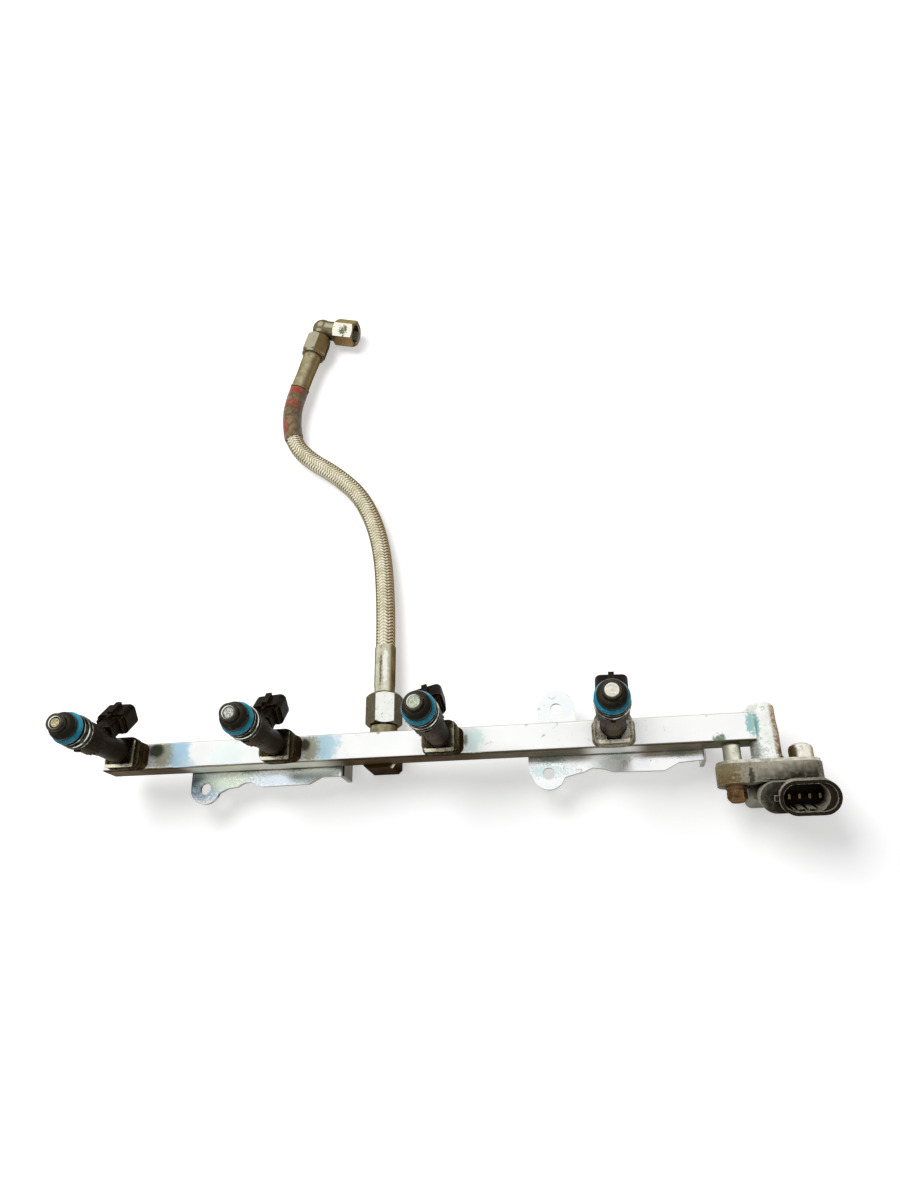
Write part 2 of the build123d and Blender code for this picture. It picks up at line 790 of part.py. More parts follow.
# Spacer behind the flange on the rail's side
spacer_plane, spacer_axis = screw_line(-1)
with BuildPart() as sensor_spacer:
    revolve(
        half_section(spacer_plane, (screw_r + seal_fit, flange_back), (3.9, flange_back),
                     (3.9, rail_front - 0.8), (3.3, rail_front), (screw_r + seal_fit, rail_front)),
        axis=spacer_axis,
    )
finish(sensor_spacer, "sensor_spacer")

# Front screw: domed hexagon head with two washers, through the ear into flange and spacer
with BuildPart() as sensor_front_screw:
    revolve(
        half_section(
            spacer_plane,
            (0, 7.5),
            (screw_r, 7.5),
            (screw_r, ear_front),
            (4.7, ear_front),
            (4.7, ear_front - 1.2),
            (4.2, ear_front - 1.3),
            (4.2, ear_front - 2.8),
            (0, ear_front - 2.8),
        ),
        axis=spacer_axis,
    )
    with BuildSketch(Plane.XZ.offset(-ear_front + 2.8)):
        with Locations((adapter_x - ear_spacing, rail_mid_z)):
            RegularPolygon(4.4, 6)
    extrude(amount=4.6)
    revolve(
        half_section(
            spacer_plane,
            (0, 8),
            (6, 8),
            (6, ear_front - 4.6),
            (4.3, ear_front - 5.4),
            (2.8, ear_front - 7.0),
            (0, ear_front - 7.4),
        ),
        axis=spacer_axis,
        mode=Mode.INTERSECT,
    )
finish(sensor_front_screw, "sensor_front_screw")

# Rear screw: domed head behind the flange, its thread in the right ear
rear_plane, rear_axis = screw_line(1)
with BuildPart() as sensor_rear_screw:
    revolve(
        half_section(
            rear_plane,
            (0, -8.5),
            (screw_r, -8.5),
            (screw_r, flange_back),
            (5.2, flange_back),
            (5.2, 4.4),
            (4.7, 5.6),
            (3.4, 6.5),
            (1.6, 7.0),
            (0, 7.1),
        ),
        axis=rear_axis,
    )
finish(sensor_rear_screw, "sensor_rear_screw")

# Sensor housing: eared flange, nose with a seal groove, body, collar and a slanted oval connector shroud
mouth_axis = Vector(0, -sin(radians(mouth_tilt)), cos(radians(mouth_tilt)))
mouth_plane = Plane(origin=mouth, x_dir=(1, 0, 0), z_dir=mouth_axis)
sensor_nose_r = adapter_bore_r - 0.15
with BuildPart() as sensor_housing:
    with BuildSketch(flange_plane):
        SlotCenterToCenter(2 * ear_spacing, 2 * ear_r)
    extrude(amount=flange_front - ear_front)
    with BuildSketch(Plane.XY.offset(-14)):
        with Locations((adapter_x + 4.9, -9.8)):
            RectangleRounded(27.6, 14.0, 3)
    extrude(amount=20)
    with BuildSketch(Plane.XY):
        with Locations((adapter_x + 4.0, -5.9)):
            RectangleRounded(19, 7.6, 1.2)
    extrude(amount=15)
    with BuildSketch(mouth_plane):
        SlotOverall(mouth_width, mouth_height)
    extrude(amount=-16.5)
    with BuildSketch(mouth_plane.offset(-collar_drop)):
        with Locations((collar_x, 0)):
            SlotOverall(collar_width, collar_height)
    extrude(amount=-collar_length)
    with BuildSketch(mouth_plane.offset(-mouth_rim)):
        with Locations((-mouth_width / 2 - tab_reach, 0)):
            Rectangle(3 * tab_reach, tab_width, align=(Align.MIN, Align.CENTER))
    extrude(amount=-collar_drop)
    revolve(
        half_section(
            adapter_plane,
            (0, flange_front - 1),
            (sensor_nose_r, flange_front - 1),
            (sensor_nose_r, 6.0),
            (2.6, 6.0),
            (2.6, 9.0),
            (sensor_nose_r, 9.0),
            (sensor_nose_r, 11.0),
            (0, 11.0),
        ),
        axis=adapter_axis,
    )
    with BuildSketch(mouth_plane):
        SlotOverall(mouth_width - 2 * mouth_wall, mouth_height - 2 * mouth_wall)
    extrude(amount=-mouth_rim, mode=Mode.SUBTRACT)
    with BuildSketch(mouth_plane):
        with Locations((cavity_x, 0)):
            SlotOverall(cavity_width, mouth_height - 2 * mouth_wall)
    extrude(amount=-mouth_depth, mode=Mode.SUBTRACT)
    with BuildSketch(mouth_plane.offset(-mouth_depth)):
        with Locations((cavity_x, ledge_inner)):
            Rectangle(11.0, 2.0, align=(Align.CENTER, Align.MAX))
        with Locations((cavity_x - 4.2, ledge_inner), (cavity_x, ledge_inner), (cavity_x + 4.2, ledge_inner)):
            Rectangle(1.6, 2.0, align=(Align.CENTER, Align.MAX), mode=Mode.SUBTRACT)
    extrude(amount=mouth_depth - 2.0)
    with BuildSketch(Plane.XZ.offset(-flange_front)):
        with Locations((adapter_x - ear_spacing, rail_mid_z)):
            Circle(screw_hole_r)
    extrude(amount=flange_front - ear_front, mode=Mode.SUBTRACT)
    with BuildSketch(Plane.XZ.offset(-flange_front)):
        with Locations((adapter_x + ear_spacing, rail_mid_z)):
            Circle(screw_r + seal_fit)
    extrude(amount=7.0, mode=Mode.SUBTRACT)
finish(sensor_housing, "sensor_housing")

# Sensor seal ring, pressure element in the adapter's bore, and the four terminals
with BuildPart() as sensor_seal:
    with BuildSketch(adapter_plane):
        with Locations((3.75, 7.5)):
            Circle(1.15)
    revolve(axis=adapter_axis)
finish(sensor_seal, "sensor_seal")
with BuildPart() as sensor_element:
    revolve(half_section(adapter_plane, (0, 11), (3.4, 11), (3.4, 13.5), (0, 13.5)), axis=adapter_axis)
finish(sensor_element, "sensor_element")
with BuildPart() as sensor_terminals:
    with BuildSketch(mouth_plane.offset(-mouth_depth)):
        with Locations((cavity_x, 0)):
            with GridLocations(terminal_pitch, 0, 4, 1):
                Rectangle(0.8, 1.8)
    extrude(amount=7)
finish(sensor_terminals, "sensor_terminals")
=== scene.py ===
"""Looks of a fuel rail: plated rail and brackets, four injectors, braided hose and pressure sensor.

Metres, +Z up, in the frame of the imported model. Sub-assemblies are classes that dress or rebuild their
own pieces, and finishes are frozen dataclasses that turn into procedural materials. Spots, bands, edges
and outlines are written in millimetres, and colours as they look, in hex digits.
"""

import json
import logging
import math
import random
from dataclasses import dataclass, replace
from enum import Enum
from functools import cache, reduce
from typing import Callable

import bmesh
import bpy
from mathutils import Matrix, Vector

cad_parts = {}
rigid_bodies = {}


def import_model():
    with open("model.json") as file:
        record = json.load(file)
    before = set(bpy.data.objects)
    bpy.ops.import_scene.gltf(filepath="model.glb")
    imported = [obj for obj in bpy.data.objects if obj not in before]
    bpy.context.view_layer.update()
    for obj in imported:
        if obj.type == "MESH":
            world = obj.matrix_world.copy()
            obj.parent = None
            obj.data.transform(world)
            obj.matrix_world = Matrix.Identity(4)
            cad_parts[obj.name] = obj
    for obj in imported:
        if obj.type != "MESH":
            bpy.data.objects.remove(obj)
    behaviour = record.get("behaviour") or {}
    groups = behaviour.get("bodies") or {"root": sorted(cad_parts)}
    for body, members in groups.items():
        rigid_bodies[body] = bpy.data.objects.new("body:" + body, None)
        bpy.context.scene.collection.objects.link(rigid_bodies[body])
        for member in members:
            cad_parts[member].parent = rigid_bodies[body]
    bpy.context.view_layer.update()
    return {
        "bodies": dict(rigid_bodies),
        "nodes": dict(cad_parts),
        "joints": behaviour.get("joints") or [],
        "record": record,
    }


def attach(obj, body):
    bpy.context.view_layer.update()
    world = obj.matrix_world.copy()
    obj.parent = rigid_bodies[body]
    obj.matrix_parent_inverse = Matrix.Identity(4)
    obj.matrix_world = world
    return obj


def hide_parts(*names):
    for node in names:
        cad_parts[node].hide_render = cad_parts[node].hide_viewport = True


LOG = logging.getLogger("fuel_rail")
MM = 0.001
TUBE_MAP = "turn_and_length"
PATCH_CORE = 0.45  # share of a patch's reach that it fills
TURNED = (0.6, 0.85)  # cosines where a patch on one side starts and is full
PALER = 1.6  # how much paler the mottle of a side is
SKIN_GLOSS = 0.08  # gloss of a plated skin

Pair = tuple[float, float]
Triple = tuple[float, float, float]
Socket = bpy.types.NodeSocket
Material = bpy.types.Material


def light(colour: str) -> Triple:
    """Light that a colour reflects, when it is written as it looks, such as #ff8000."""
    levels = (int(colour[place:place + 2], 16) / 255 for place in (1, 3, 5))
    return tuple(v / 12.92 if v < 0.04045 else ((v + 0.055) / 1.055) ** 2.4 for v in levels)


class Grain(Enum):
    """How a metal surface was worked, as the share of the fine relief kept along X, Y and Z."""

    CAST = (1.0, 1.0, 1.0)
    DRAWN_X = (0.04, 1.0, 1.0)
    DRAWN_Y = (1.0, 0.04, 1.0)
    TURNED_Z = (0.06, 0.06, 1.0)


class Graph:
    """Nodes of one material or world, with short calls for the kinds that the finishes use."""

    def __init__(self, name: str, world: bool = False) -> None:
        """Starts a material with one principled shader, or a world with its background.

        Args:
            name: the material's or world's name.
            world: whether it is a world.
        """
        self.owner = (bpy.data.worlds if world else bpy.data.materials).new(name)
        self.owner.use_nodes = True
        self.tree = self.owner.node_tree
        self.shader = self.tree.nodes["Background" if world else "Principled BSDF"]
        self.place = self.add("TexCoord").outputs["Object"]

    def add(self, kind: str, *values: object, **settings: object) -> bpy.types.Node:
        """Adds a node, sets its properties and fills its first sockets.

        Args:
            kind: Blender's name of the node type, without ShaderNode.
            values: what goes into the sockets, in their order.
            settings: properties of the node by name.

        Returns:
            The node.
        """
        node = self.tree.nodes.new("ShaderNode" + kind)
        for name, value in settings.items():
            setattr(node, name, value)
        for socket, value in zip(node.inputs, values):
            self.put(socket, value)
        return node

    def put(self, socket: Socket, value: object) -> None:
        """Links a socket to another, or sets its value.

        Args:
            socket: the input to fill.
            value: an output socket, a number, a vector, a colour, or None to leave it.
        """
        if isinstance(value, bpy.types.NodeSocket):
            self.tree.links.new(value, socket)
        elif isinstance(value, str):
            socket.default_value = (*light(value), 1)
        elif value is not None:
            wide = socket.type == "RGBA" and len(value) == 3
            socket.default_value = (*value, 1) if wide else value

    def fill(self, node: bpy.types.Node, **values: object) -> bpy.types.Node:
        """Fills a node's sockets.

        Args:
            node: the node.
            values: what goes into each socket, by its name with underscores for spaces.

        Returns:
            The node.
        """
        for name, value in values.items():
            self.put(node.inputs[name.replace("_", " ")], value)
        return node

    def noise(self, scale: float, detail: float = 3.0, rough: float = 0.55, warp: float = 0.0,
              at: Socket | None = None) -> Socket:
        """Noise from 0 to 1, with its features per metre, octaves, weight of the finer ones and warp."""
        node = self.fill(self.add("TexNoise"), Vector=at or self.place, Scale=scale, Detail=detail,
                         Roughness=rough, Distortion=warp)
        return node.outputs[0]

    def wander(self, scale: float, detail: float, reach: float, ends: Pair) -> Socket:
        """Shift of an outline by noise, as far as reach in metres where the noise is at its two ends."""
        return self.span(self.noise(scale, detail), *ends, -reach, reach, False)

    def stretch(self, factors: Triple) -> Socket:
        """The object's coordinates scaled by one factor per axis."""
        return self.add("VectorMath", self.place, factors, operation="MULTIPLY").outputs[0]

    def span(self, value: Socket, low: float, high: float, start: float = 0.0, end: float = 1.0,
             soft: bool = True) -> Socket:
        """A value mapped from low and high onto start and end and held between them, eased if soft."""
        kind = "SMOOTHSTEP" if soft else "LINEAR"
        return self.add("MapRange", value, low, high, start, end, interpolation_type=kind).outputs[0]

    def mix(self, share: Socket | float, first: object, second: object) -> Socket:
        """Two colours mixed, by the share of the second."""
        unused = [None] * 5  # the node's sockets for mixing numbers and vectors
        return self.add("Mix", share, *unused, first, second, data_type="RGBA").outputs[2]

    def calc(self, operation: str, *values: object) -> Socket:
        """One step of arithmetic on numbers or value sockets."""
        return self.add("Math", *values, operation=operation).outputs[0]

    def times(self, *values: object) -> Socket:
        """Product of two or more numbers or value sockets."""
        return reduce(lambda product, value: self.calc("MULTIPLY", product, value), values)

    def off(self, value: Socket, middle: float) -> Socket:
        """How far a value is from a middle one, to either side."""
        return self.calc("ABSOLUTE", self.calc("SUBTRACT", value, middle))

    def axis(self, index: int, at: Socket | None = None) -> Socket:
        """One component of the coordinates, in metres."""
        return self.add("SeparateXYZ", at or self.place).outputs[index]

    def turned_to(self, direction: Triple, low: float, high: float) -> Socket:
        """How far the surface at rest is turned to a direction, from 0 at one cosine to 1 at another."""
        facing = self.add("TexCoord").outputs["Normal"]
        return self.span(self.between("DOT_PRODUCT", facing, direction), low, high)

    def between(self, operation: str, first: Socket, second: object) -> Socket:
        """One number that Blender's vector arithmetic makes of two vectors."""
        return self.add("VectorMath", first, second, operation=operation).outputs["Value"]

    def near(self, spot: Triple, reach: float, ragged: float = 0.5, scale: float = 300.0,
             stretch: Triple = (1.0, 1.0, 1.0)) -> Socket:
        """A ragged patch round a point.

        Args:
            spot: the patch's middle, in metres.
            reach: its radius, in metres.
            ragged: how far its outline wanders, as a share of the radius.
            scale: features per metre of the outline.
            stretch: factor on the distance along each axis.

        Returns:
            1 inside the patch and 0 outside.
        """
        middle = tuple(a * b for a, b in zip(spot, stretch))
        distance = self.between("DISTANCE", self.stretch(stretch), middle)
        shift = self.wander(scale, 4, ragged * reach, (0.2, 0.8))
        return self.span(self.calc("ADD", distance, shift), reach, reach * PATCH_CORE)

    def band(self, along: Socket, low: float, high: float, soft: float) -> Socket:
        """1 from low to high millimetres along a piece, and 0 past a soft edge outside either."""
        rise = self.span(along, (low - soft) * MM, low * MM)
        return self.times(rise, self.span(along, (high + soft) * MM, high * MM))

    def worn(self, radius: float, low: float = 0.03, high: float = 0.35) -> Socket:
        """Outer and inner edges, found by comparing the rounded with the true surface direction.

        Args:
            radius: how wide the edge is, in metres.
            low: difference that starts to count.
            high: difference that counts in full.

        Returns:
            1 on an edge and 0 on a flat.
        """
        rounded = self.add("Bevel", radius, samples=4).outputs[0]
        true = self.add("NewGeometry").outputs["Normal"]
        return self.span(self.between("DOT_PRODUCT", rounded, true), 1 - low, 1 - high)

    def seen(self) -> Socket:
        """1 for rays of the eye, straight, through glass or mirrored, and 0 for rays that only light."""
        straight, through, mirrored = (self.ray(kind) for kind in ("Camera", "Transmission", "Glossy"))
        return self.calc("MAXIMUM", self.calc("MAXIMUM", straight, through), mirrored)

    def ray(self, kind: str) -> Socket:
        """1 for rays of one kind and 0 for the others."""
        return self.add("LightPath").outputs[f"Is {kind} Ray"]

    def bump(self, height: Socket, depth: float, strength: float = 1.0) -> None:
        """Adds relief to the shader, over what is there already.

        Args:
            height: the relief from 0 to 1.
            depth: its depth in metres.
            strength: from 0 to 1.
        """
        node = self.fill(self.add("Bump"), Height=height, Distance=depth, Strength=strength)
        before = self.shader.inputs["Normal"].links
        if before:
            self.put(node.inputs["Normal"], before[0].from_socket)
        self.put(self.shader.inputs["Normal"], node.outputs[0])

    def finish(self, **values: object) -> Material:
        """Fills the shader's sockets by name, and hands over what it belongs to."""
        self.fill(self.shader, **values)
        return self.owner


@dataclass(frozen=True)
class Patch:
    """A ragged spot of another colour at one place of the object, in millimetres."""

    spot: Triple
    reach: float
    colour: str
    share: float = 0.8
    ragged: float = 0.5
    scale: float = 300.0
    stretch: Triple = (1.0, 1.0, 1.0)
    facing: Triple | None = None

    def lay(self, g: Graph, colour: Socket) -> Socket:
        """Lays the patch over a colour.

        Args:
            g: the material's graph.
            colour: what is there.

        Returns:
            The colour with the patch.
        """
        spot = tuple(value * MM for value in self.spot)
        inside = g.near(spot, self.reach * MM, self.ragged, self.scale, self.stretch)
        if self.facing:
            inside = g.times(inside, g.turned_to(self.facing, *TURNED))
        return g.mix(g.times(inside, self.share), colour, self.colour)


@dataclass(frozen=True)
class Side:
    """Painted light or shade: another colour on the surfaces that are turned one way at rest, over the
    whole piece or a stretch along X.
    """

    direction: Triple
    colour: str
    low: float = 0.45
    high: float = 0.8
    share: float = 1.0
    stretch: tuple[float, float, float, float] | None = None

    def lay(self, g: Graph, colour: Socket, grain: Socket) -> Socket:
        """Lays the side's painted light or shade over another colour.

        Args:
            g: the material's graph.
            colour: what is there.
            grain: fine lines that mottle the colour.

        Returns:
            The colour with the side.
        """
        share = g.times(g.turned_to(self.direction, self.low, self.high), self.share)
        if self.stretch:
            start, full, last, end = (value * MM for value in self.stretch)
            along = g.axis(0)
            share = g.times(share, g.span(along, start, full), g.span(along, end, last))
        pale = tuple(min(1, PALER * value) for value in light(self.colour))
        return g.mix(share, colour, g.mix(g.span(grain, 0.4, 0.7, 0, 0.4), self.colour, pale))


@dataclass(frozen=True)
class Metal:
    """Plated or passivated metal with blotches, grain, stains and scratches, sides painted in other colours
    as light and shade, and edges in another colour as wear, painted glints and painted outline shade.
    """

    name: str
    light: str
    dark: str
    edge: str
    stain: str = "#5a503e"
    blotch: float = 0.5
    stain_share: float = 0.25
    speck: float = 0.0
    rough: Pair = (0.25, 0.5)
    grain: Grain = Grain.CAST
    grain_share: float = 0.25
    feature: float = 220.0
    edge_width: float = 0.4
    edge_share: float = 1.0
    metallic: float = 0.9
    rim: Triple = (0.3, 0.27, 0.2)
    scratches: float = 0.0
    sides: tuple[Side, ...] = ()
    patches: tuple[Patch, ...] = ()
    line_scale: float = 2600.0
    speck_scale: float = 2400.0
    line_relief: float = 0.03 * MM
    cast_relief: float = 0.06 * MM

    def graph(self) -> tuple[Graph, Socket, Socket]:
        """Lays the common layers.

        Returns:
            The graph, its colour and its roughness, before the shader is filled.
        """
        g = Graph(self.name)
        blotches = g.span(g.noise(self.feature, 5, 0.6, 0.4), 0.35, 0.65)
        lines = g.noise(self.line_scale, 4, 0.7, 0, g.stretch(self.grain.value))
        colour = g.mix(g.times(blotches, self.blotch), self.light, self.dark)
        # Sides paint light and shade by the way each surface is turned.
        for side in self.sides:
            colour = side.lay(g, colour, lines)
        stains = g.span(g.noise(self.feature * 2.7, 6, 0.65, 1), 0.62 - 0.2 * self.stain_share, 0.74)
        colour = g.mix(g.times(stains, 0.8), colour, self.stain)
        if self.speck:
            specks = g.span(g.noise(self.speck_scale, 3, 0.6), 0.66 - 0.1 * self.speck, 0.72)
            colour = g.mix(g.times(specks, 0.9 * self.speck), colour, self.stain)
        colour = g.mix(g.span(lines, 0.3, 0.8, 0, self.grain_share), colour, self.dark)
        for patch in self.patches:
            colour = patch.lay(g, colour)
        if self.scratches:
            colour = self.scratch(g, colour)
        # Edges take the edge colour: a light one stands for wear and painted glints, a dark one for painted
        # outline shade.
        edges = g.times(g.worn(self.edge_width * MM), g.span(g.noise(900), 0.3, 0.6, 0.35, 1))
        colour = g.mix(g.times(edges, self.edge_share), colour, self.edge)
        rough = g.span(blotches, 0, 1, *self.rough, False)
        rough = g.calc("ADD", rough, g.times(stains, 0.2))
        g.bump(lines, self.line_relief, 0.5)
        g.bump(g.noise(self.feature * 5, 4), self.cast_relief, 0.4)
        return g, colour, rough

    def scratch(self, g: Graph, colour: Socket) -> Socket:
        """Thin dark scratches in two crossing directions.

        Args:
            g: the material's graph.
            colour: what is there.

        Returns:
            The colour with the scratches.
        """
        for factors, warp in (((0.35, 0.08, 0.3), 1.4), ((0.1, 0.5, 0.2), 1.9)):
            lines = g.noise(700, 1, 0.4, warp, g.stretch(factors))
            where = g.span(g.noise(260, 2), 0.5, 0.62)
            marks = g.times(g.span(g.off(lines, 0.5), 0.012, 0.002), where, self.scratches)
            colour = g.mix(marks, colour, self.stain)
        return colour

    def fill(self, g: Graph, colour: Socket, rough: Socket) -> Material:
        """Fills the shader, with a skin that is darker where it is seen at a glancing angle."""
        return g.finish(Base_Color=colour, Roughness=rough, Metallic=self.metallic,
                        Specular_Tint=self.rim, Specular_IOR_Level=SKIN_GLOSS)

    def make(self) -> Material:
        """Builds the material."""
        return self.fill(*self.graph())


@dataclass(frozen=True)
class BandedSteel(Metal):
    """Turned steel of an injector: dark oily film with bright rings at given heights."""

    rings: tuple[Pair, ...] = ()
    ring_colour: str = "#e4e6de"
    soft: float = 0.1

    def make(self) -> Material:
        """Builds the material.

        Returns:
            The material.
        """
        g, colour, rough = self.graph()
        height = g.calc("ADD", g.axis(2), g.wander(500, 2, 0.1 * MM, (0.2, 0.8)))
        for low, high in self.rings:
            broken = g.span(g.noise(260), 0.42, 0.6, 0.15, 1)
            colour = g.mix(g.times(g.band(height, low, high, self.soft), broken), colour, self.ring_colour)
        return self.fill(g, colour, rough)


@dataclass(frozen=True)
class NozzleFace(Metal):
    """Bright sprayed face inside a ring of painted shade from its groove and a thin rim with a painted
    highlight, with radii in millimetres.
    """

    # Painted shade: from the reach outward the groove is painted in the ring colour, round a middle set off
    # the axis so that the shade leaves a crescent; past the rim's radii the edge colour paints a highlight.
    centre: Pair = (0.0, 0.0)
    reach: float = 2.2
    soft: float = 0.18
    rim_highlight: Pair = (2.62, 2.72)
    ring: str = "#1a1810"

    def make(self) -> Material:
        """Builds the material.

        Returns:
            The material.
        """
        g, colour, rough = self.graph()
        x, y = self.centre
        distance = g.between("DISTANCE", g.stretch((1, 1, 0)), (x * MM, y * MM, 0))
        # Painted shade in the groove past the reach, then a painted highlight on the rim.
        for start, end, tint in ((self.reach, self.reach + self.soft, self.ring),
                                 (*self.rim_highlight, self.edge)):
            colour = g.mix(g.span(distance, start * MM, end * MM), colour, tint)
        return self.fill(g, colour, rough)


@dataclass(frozen=True)
class Plastic:
    """Moulded plastic with dust, fine texture, edges in another colour as rubbing and painted glints, sides
    painted in other colours as light and shade, and painted shade in its recesses.
    """

    name: str
    base: str
    dust: str
    edge: str
    dust_share: float = 0.3
    rough: Pair = (0.35, 0.55)
    texture: float = 0.04 * MM
    edge_share: float = 0.7
    sides: tuple[Side, ...] = ()
    patches: tuple[Patch, ...] = ()
    specular: float = 0.15
    feature: float = 160.0
    # Reach in millimetres and colour of the painted shade in recesses.
    recess_shade_reach: float = 0.0
    dark: str = "#0c0703"
    edge_width: float = 0.3

    def make(self) -> Material:
        """Builds the material.

        Returns:
            The material.
        """
        g = Graph(self.name)
        grime = g.span(g.noise(self.feature, 6, 0.65, 0.6), 0.62 - 0.35 * self.dust_share, 0.78)
        specks = g.span(g.noise(1500, 3, 0.6), 0.6, 0.75)
        colour = g.mix(g.times(grime, 0.75), self.base, self.dust)
        colour = g.mix(g.times(specks, 0.35), colour, self.dust)
        # Sides paint light and shade by the way each surface is turned.
        for side in self.sides:
            colour = side.lay(g, colour, g.noise(self.feature * 6, 5, 0.7))
        for patch in self.patches:
            colour = patch.lay(g, colour)
        # Edges take the edge colour, as rubbing and painted glints.
        edges = g.times(g.worn(self.edge_width * MM), g.span(g.noise(700), 0.35, 0.65))
        colour = g.mix(g.times(edges, self.edge_share), colour, self.edge)
        # Painted shade: recesses found by ambient occlusion take the dark colour.
        if self.recess_shade_reach:
            depth = g.add("AmbientOcclusion", None, self.recess_shade_reach * MM, samples=6).outputs["AO"]
            colour = g.mix(g.span(depth, 0.55, 0.3), colour, self.dark)
        g.bump(g.noise(3500), self.texture, 0.5)
        return g.finish(Base_Color=colour, Roughness=g.span(grime, 0, 1, *self.rough, False),
                        Specular_IOR_Level=self.specular)


@dataclass(frozen=True)
class Rubber:
    """Seal rubber, slightly waxy, with a few dusty specks and painted shade on the faces turned away from
    above.
    """

    name: str
    base: str
    pale: str
    turned_away_shade: str
    specular: float = 0.12

    def make(self) -> Material:
        """Builds the material.

        Returns:
            The material.
        """
        g = Graph(self.name)
        specks = g.span(g.noise(900, 4, 0.6), 0.52, 0.75)
        tides = g.span(g.noise(220), 0.4, 0.7, 0, 0.5)
        # Painted shade: the third colour on faces turned away from above, right and back.
        colour = g.mix(g.turned_to((0.35, 0.35, 0.87), 0.55, -0.35), self.base, self.turned_away_shade)
        colour = g.mix(g.times(g.calc("MAXIMUM", specks, tides), 0.8), colour, self.pale)
        g.bump(g.noise(2500), 0.03 * MM, 0.4)
        return g.finish(Base_Color=colour, Roughness=g.span(specks, 0, 1, 0.22, 0.5, False),
                        Specular_IOR_Level=self.specular)


@dataclass(frozen=True)
class Braid:
    """Flat wire strands plaited over and under round a hose, which show as columns of chevrons, with
    painted shade in the gaps and on the flanks, weaker on top.
    """

    columns: int = 12
    pitch: float = 1.75 * MM
    rise: float = 0.75
    wires: int = 5
    relief: float = 0.34 * MM
    roundness: float = 0.6
    arch: float = 0.55
    wire: str = "#fef8e0"
    gold: str = "#d0c59c"
    # The gap colour paints shade in the gaps together with grime; the shade and olive colours are painted
    # shade on the right and left flanks.
    gap_shade_and_grime: str = "#362910"
    shade: str = "#927650"
    olive: str = "#84805c"

    def height(self, turn: float, along: float) -> float:
        """Relief of the plait.

        Args:
            turn: place round the hose, from 0 to 1.
            along: distance along the hose in metres.

        Returns:
            The height from 0 to 1.
        """
        place = self.columns * turn
        across = place - math.floor(place)
        lean = 1 if math.floor(place) % 2 else -1
        phase = along / self.pitch + lean * self.rise * (across - 0.5)
        crown = abs(math.sin(math.pi * phase)) ** self.roundness
        return crown * (1 - self.arch + self.arch * math.sin(math.pi * across))

    def make(self) -> Material:
        """Builds the material, which reads the turn and distance from the mesh's own map.

        Returns:
            The material.
        """
        g = Graph("braided_steel")
        place = g.add("UVMap", uv_map=TUBE_MAP).outputs[0]
        columns = g.times(g.axis(0, place), self.columns)
        across = g.calc("FRACT", columns)
        lean = g.calc("SIGN", g.calc("SINE", g.times(columns, -math.pi)))
        phase = g.calc("ADD", g.times(g.axis(1, place), 1 / self.pitch),
                       g.times(lean, self.rise, g.calc("SUBTRACT", across, 0.5)))
        crown = g.calc("ABSOLUTE", g.calc("SINE", g.times(phase, math.pi)))
        arch = g.calc("SINE", g.times(across, math.pi))
        relief = g.times(g.calc("POWER", crown, self.roundness),
                         g.calc("ADD", g.times(arch, self.arch), 1 - self.arch))
        wires = g.calc("ABSOLUTE", g.calc("SINE", g.times(phase, math.pi * self.wires)))
        tint = g.span(g.noise(150, 4, 0.6), 0.35, 0.68)
        grime = g.span(g.noise(420, 5, 0.65), 0.58, 0.78)
        # Painted light and shade: the gaps' painted shade is weaker on faces turned up, the flanks turned
        # right and left are darkened, and the gaps between wires and strands take painted shade.
        top = g.turned_to((-0.2, 0, 0.98), 0.78, 1)
        depth = g.calc("SUBTRACT", 0.95, g.times(top, 0.5))
        colour = self.wire
        for share, layer in (
                (g.times(tint, 0.7), self.gold),
                (g.span(arch, 0.75, 0, 0, 0.5), self.gold),
                (g.times(g.turned_to((0.96, 0.1, -0.1), 0.1, 0.75), 0.8), self.shade),
                (g.times(g.turned_to((-0.96, -0.1, -0.1), 0.3, 0.8), 0.75), self.olive),
                (g.span(wires, 0.5, 0.05, 0, 0.22), self.gap_shade_and_grime),
                (g.times(g.span(crown, 0.8, 0.25), depth), self.gap_shade_and_grime),
                (g.times(grime, 0.45), self.gap_shade_and_grime)):
            colour = g.mix(share, colour, layer)
        g.bump(relief, 0.1 * MM, 0.6)
        g.bump(wires, 0.03 * MM, 0.5)
        return g.finish(Base_Color=colour, Roughness=g.span(grime, 0, 1, 0.3, 0.5, False), Metallic=0.8,
                        Specular_Tint=(0.2, 0.17, 0.1), Specular_IOR_Level=SKIN_GLOSS)


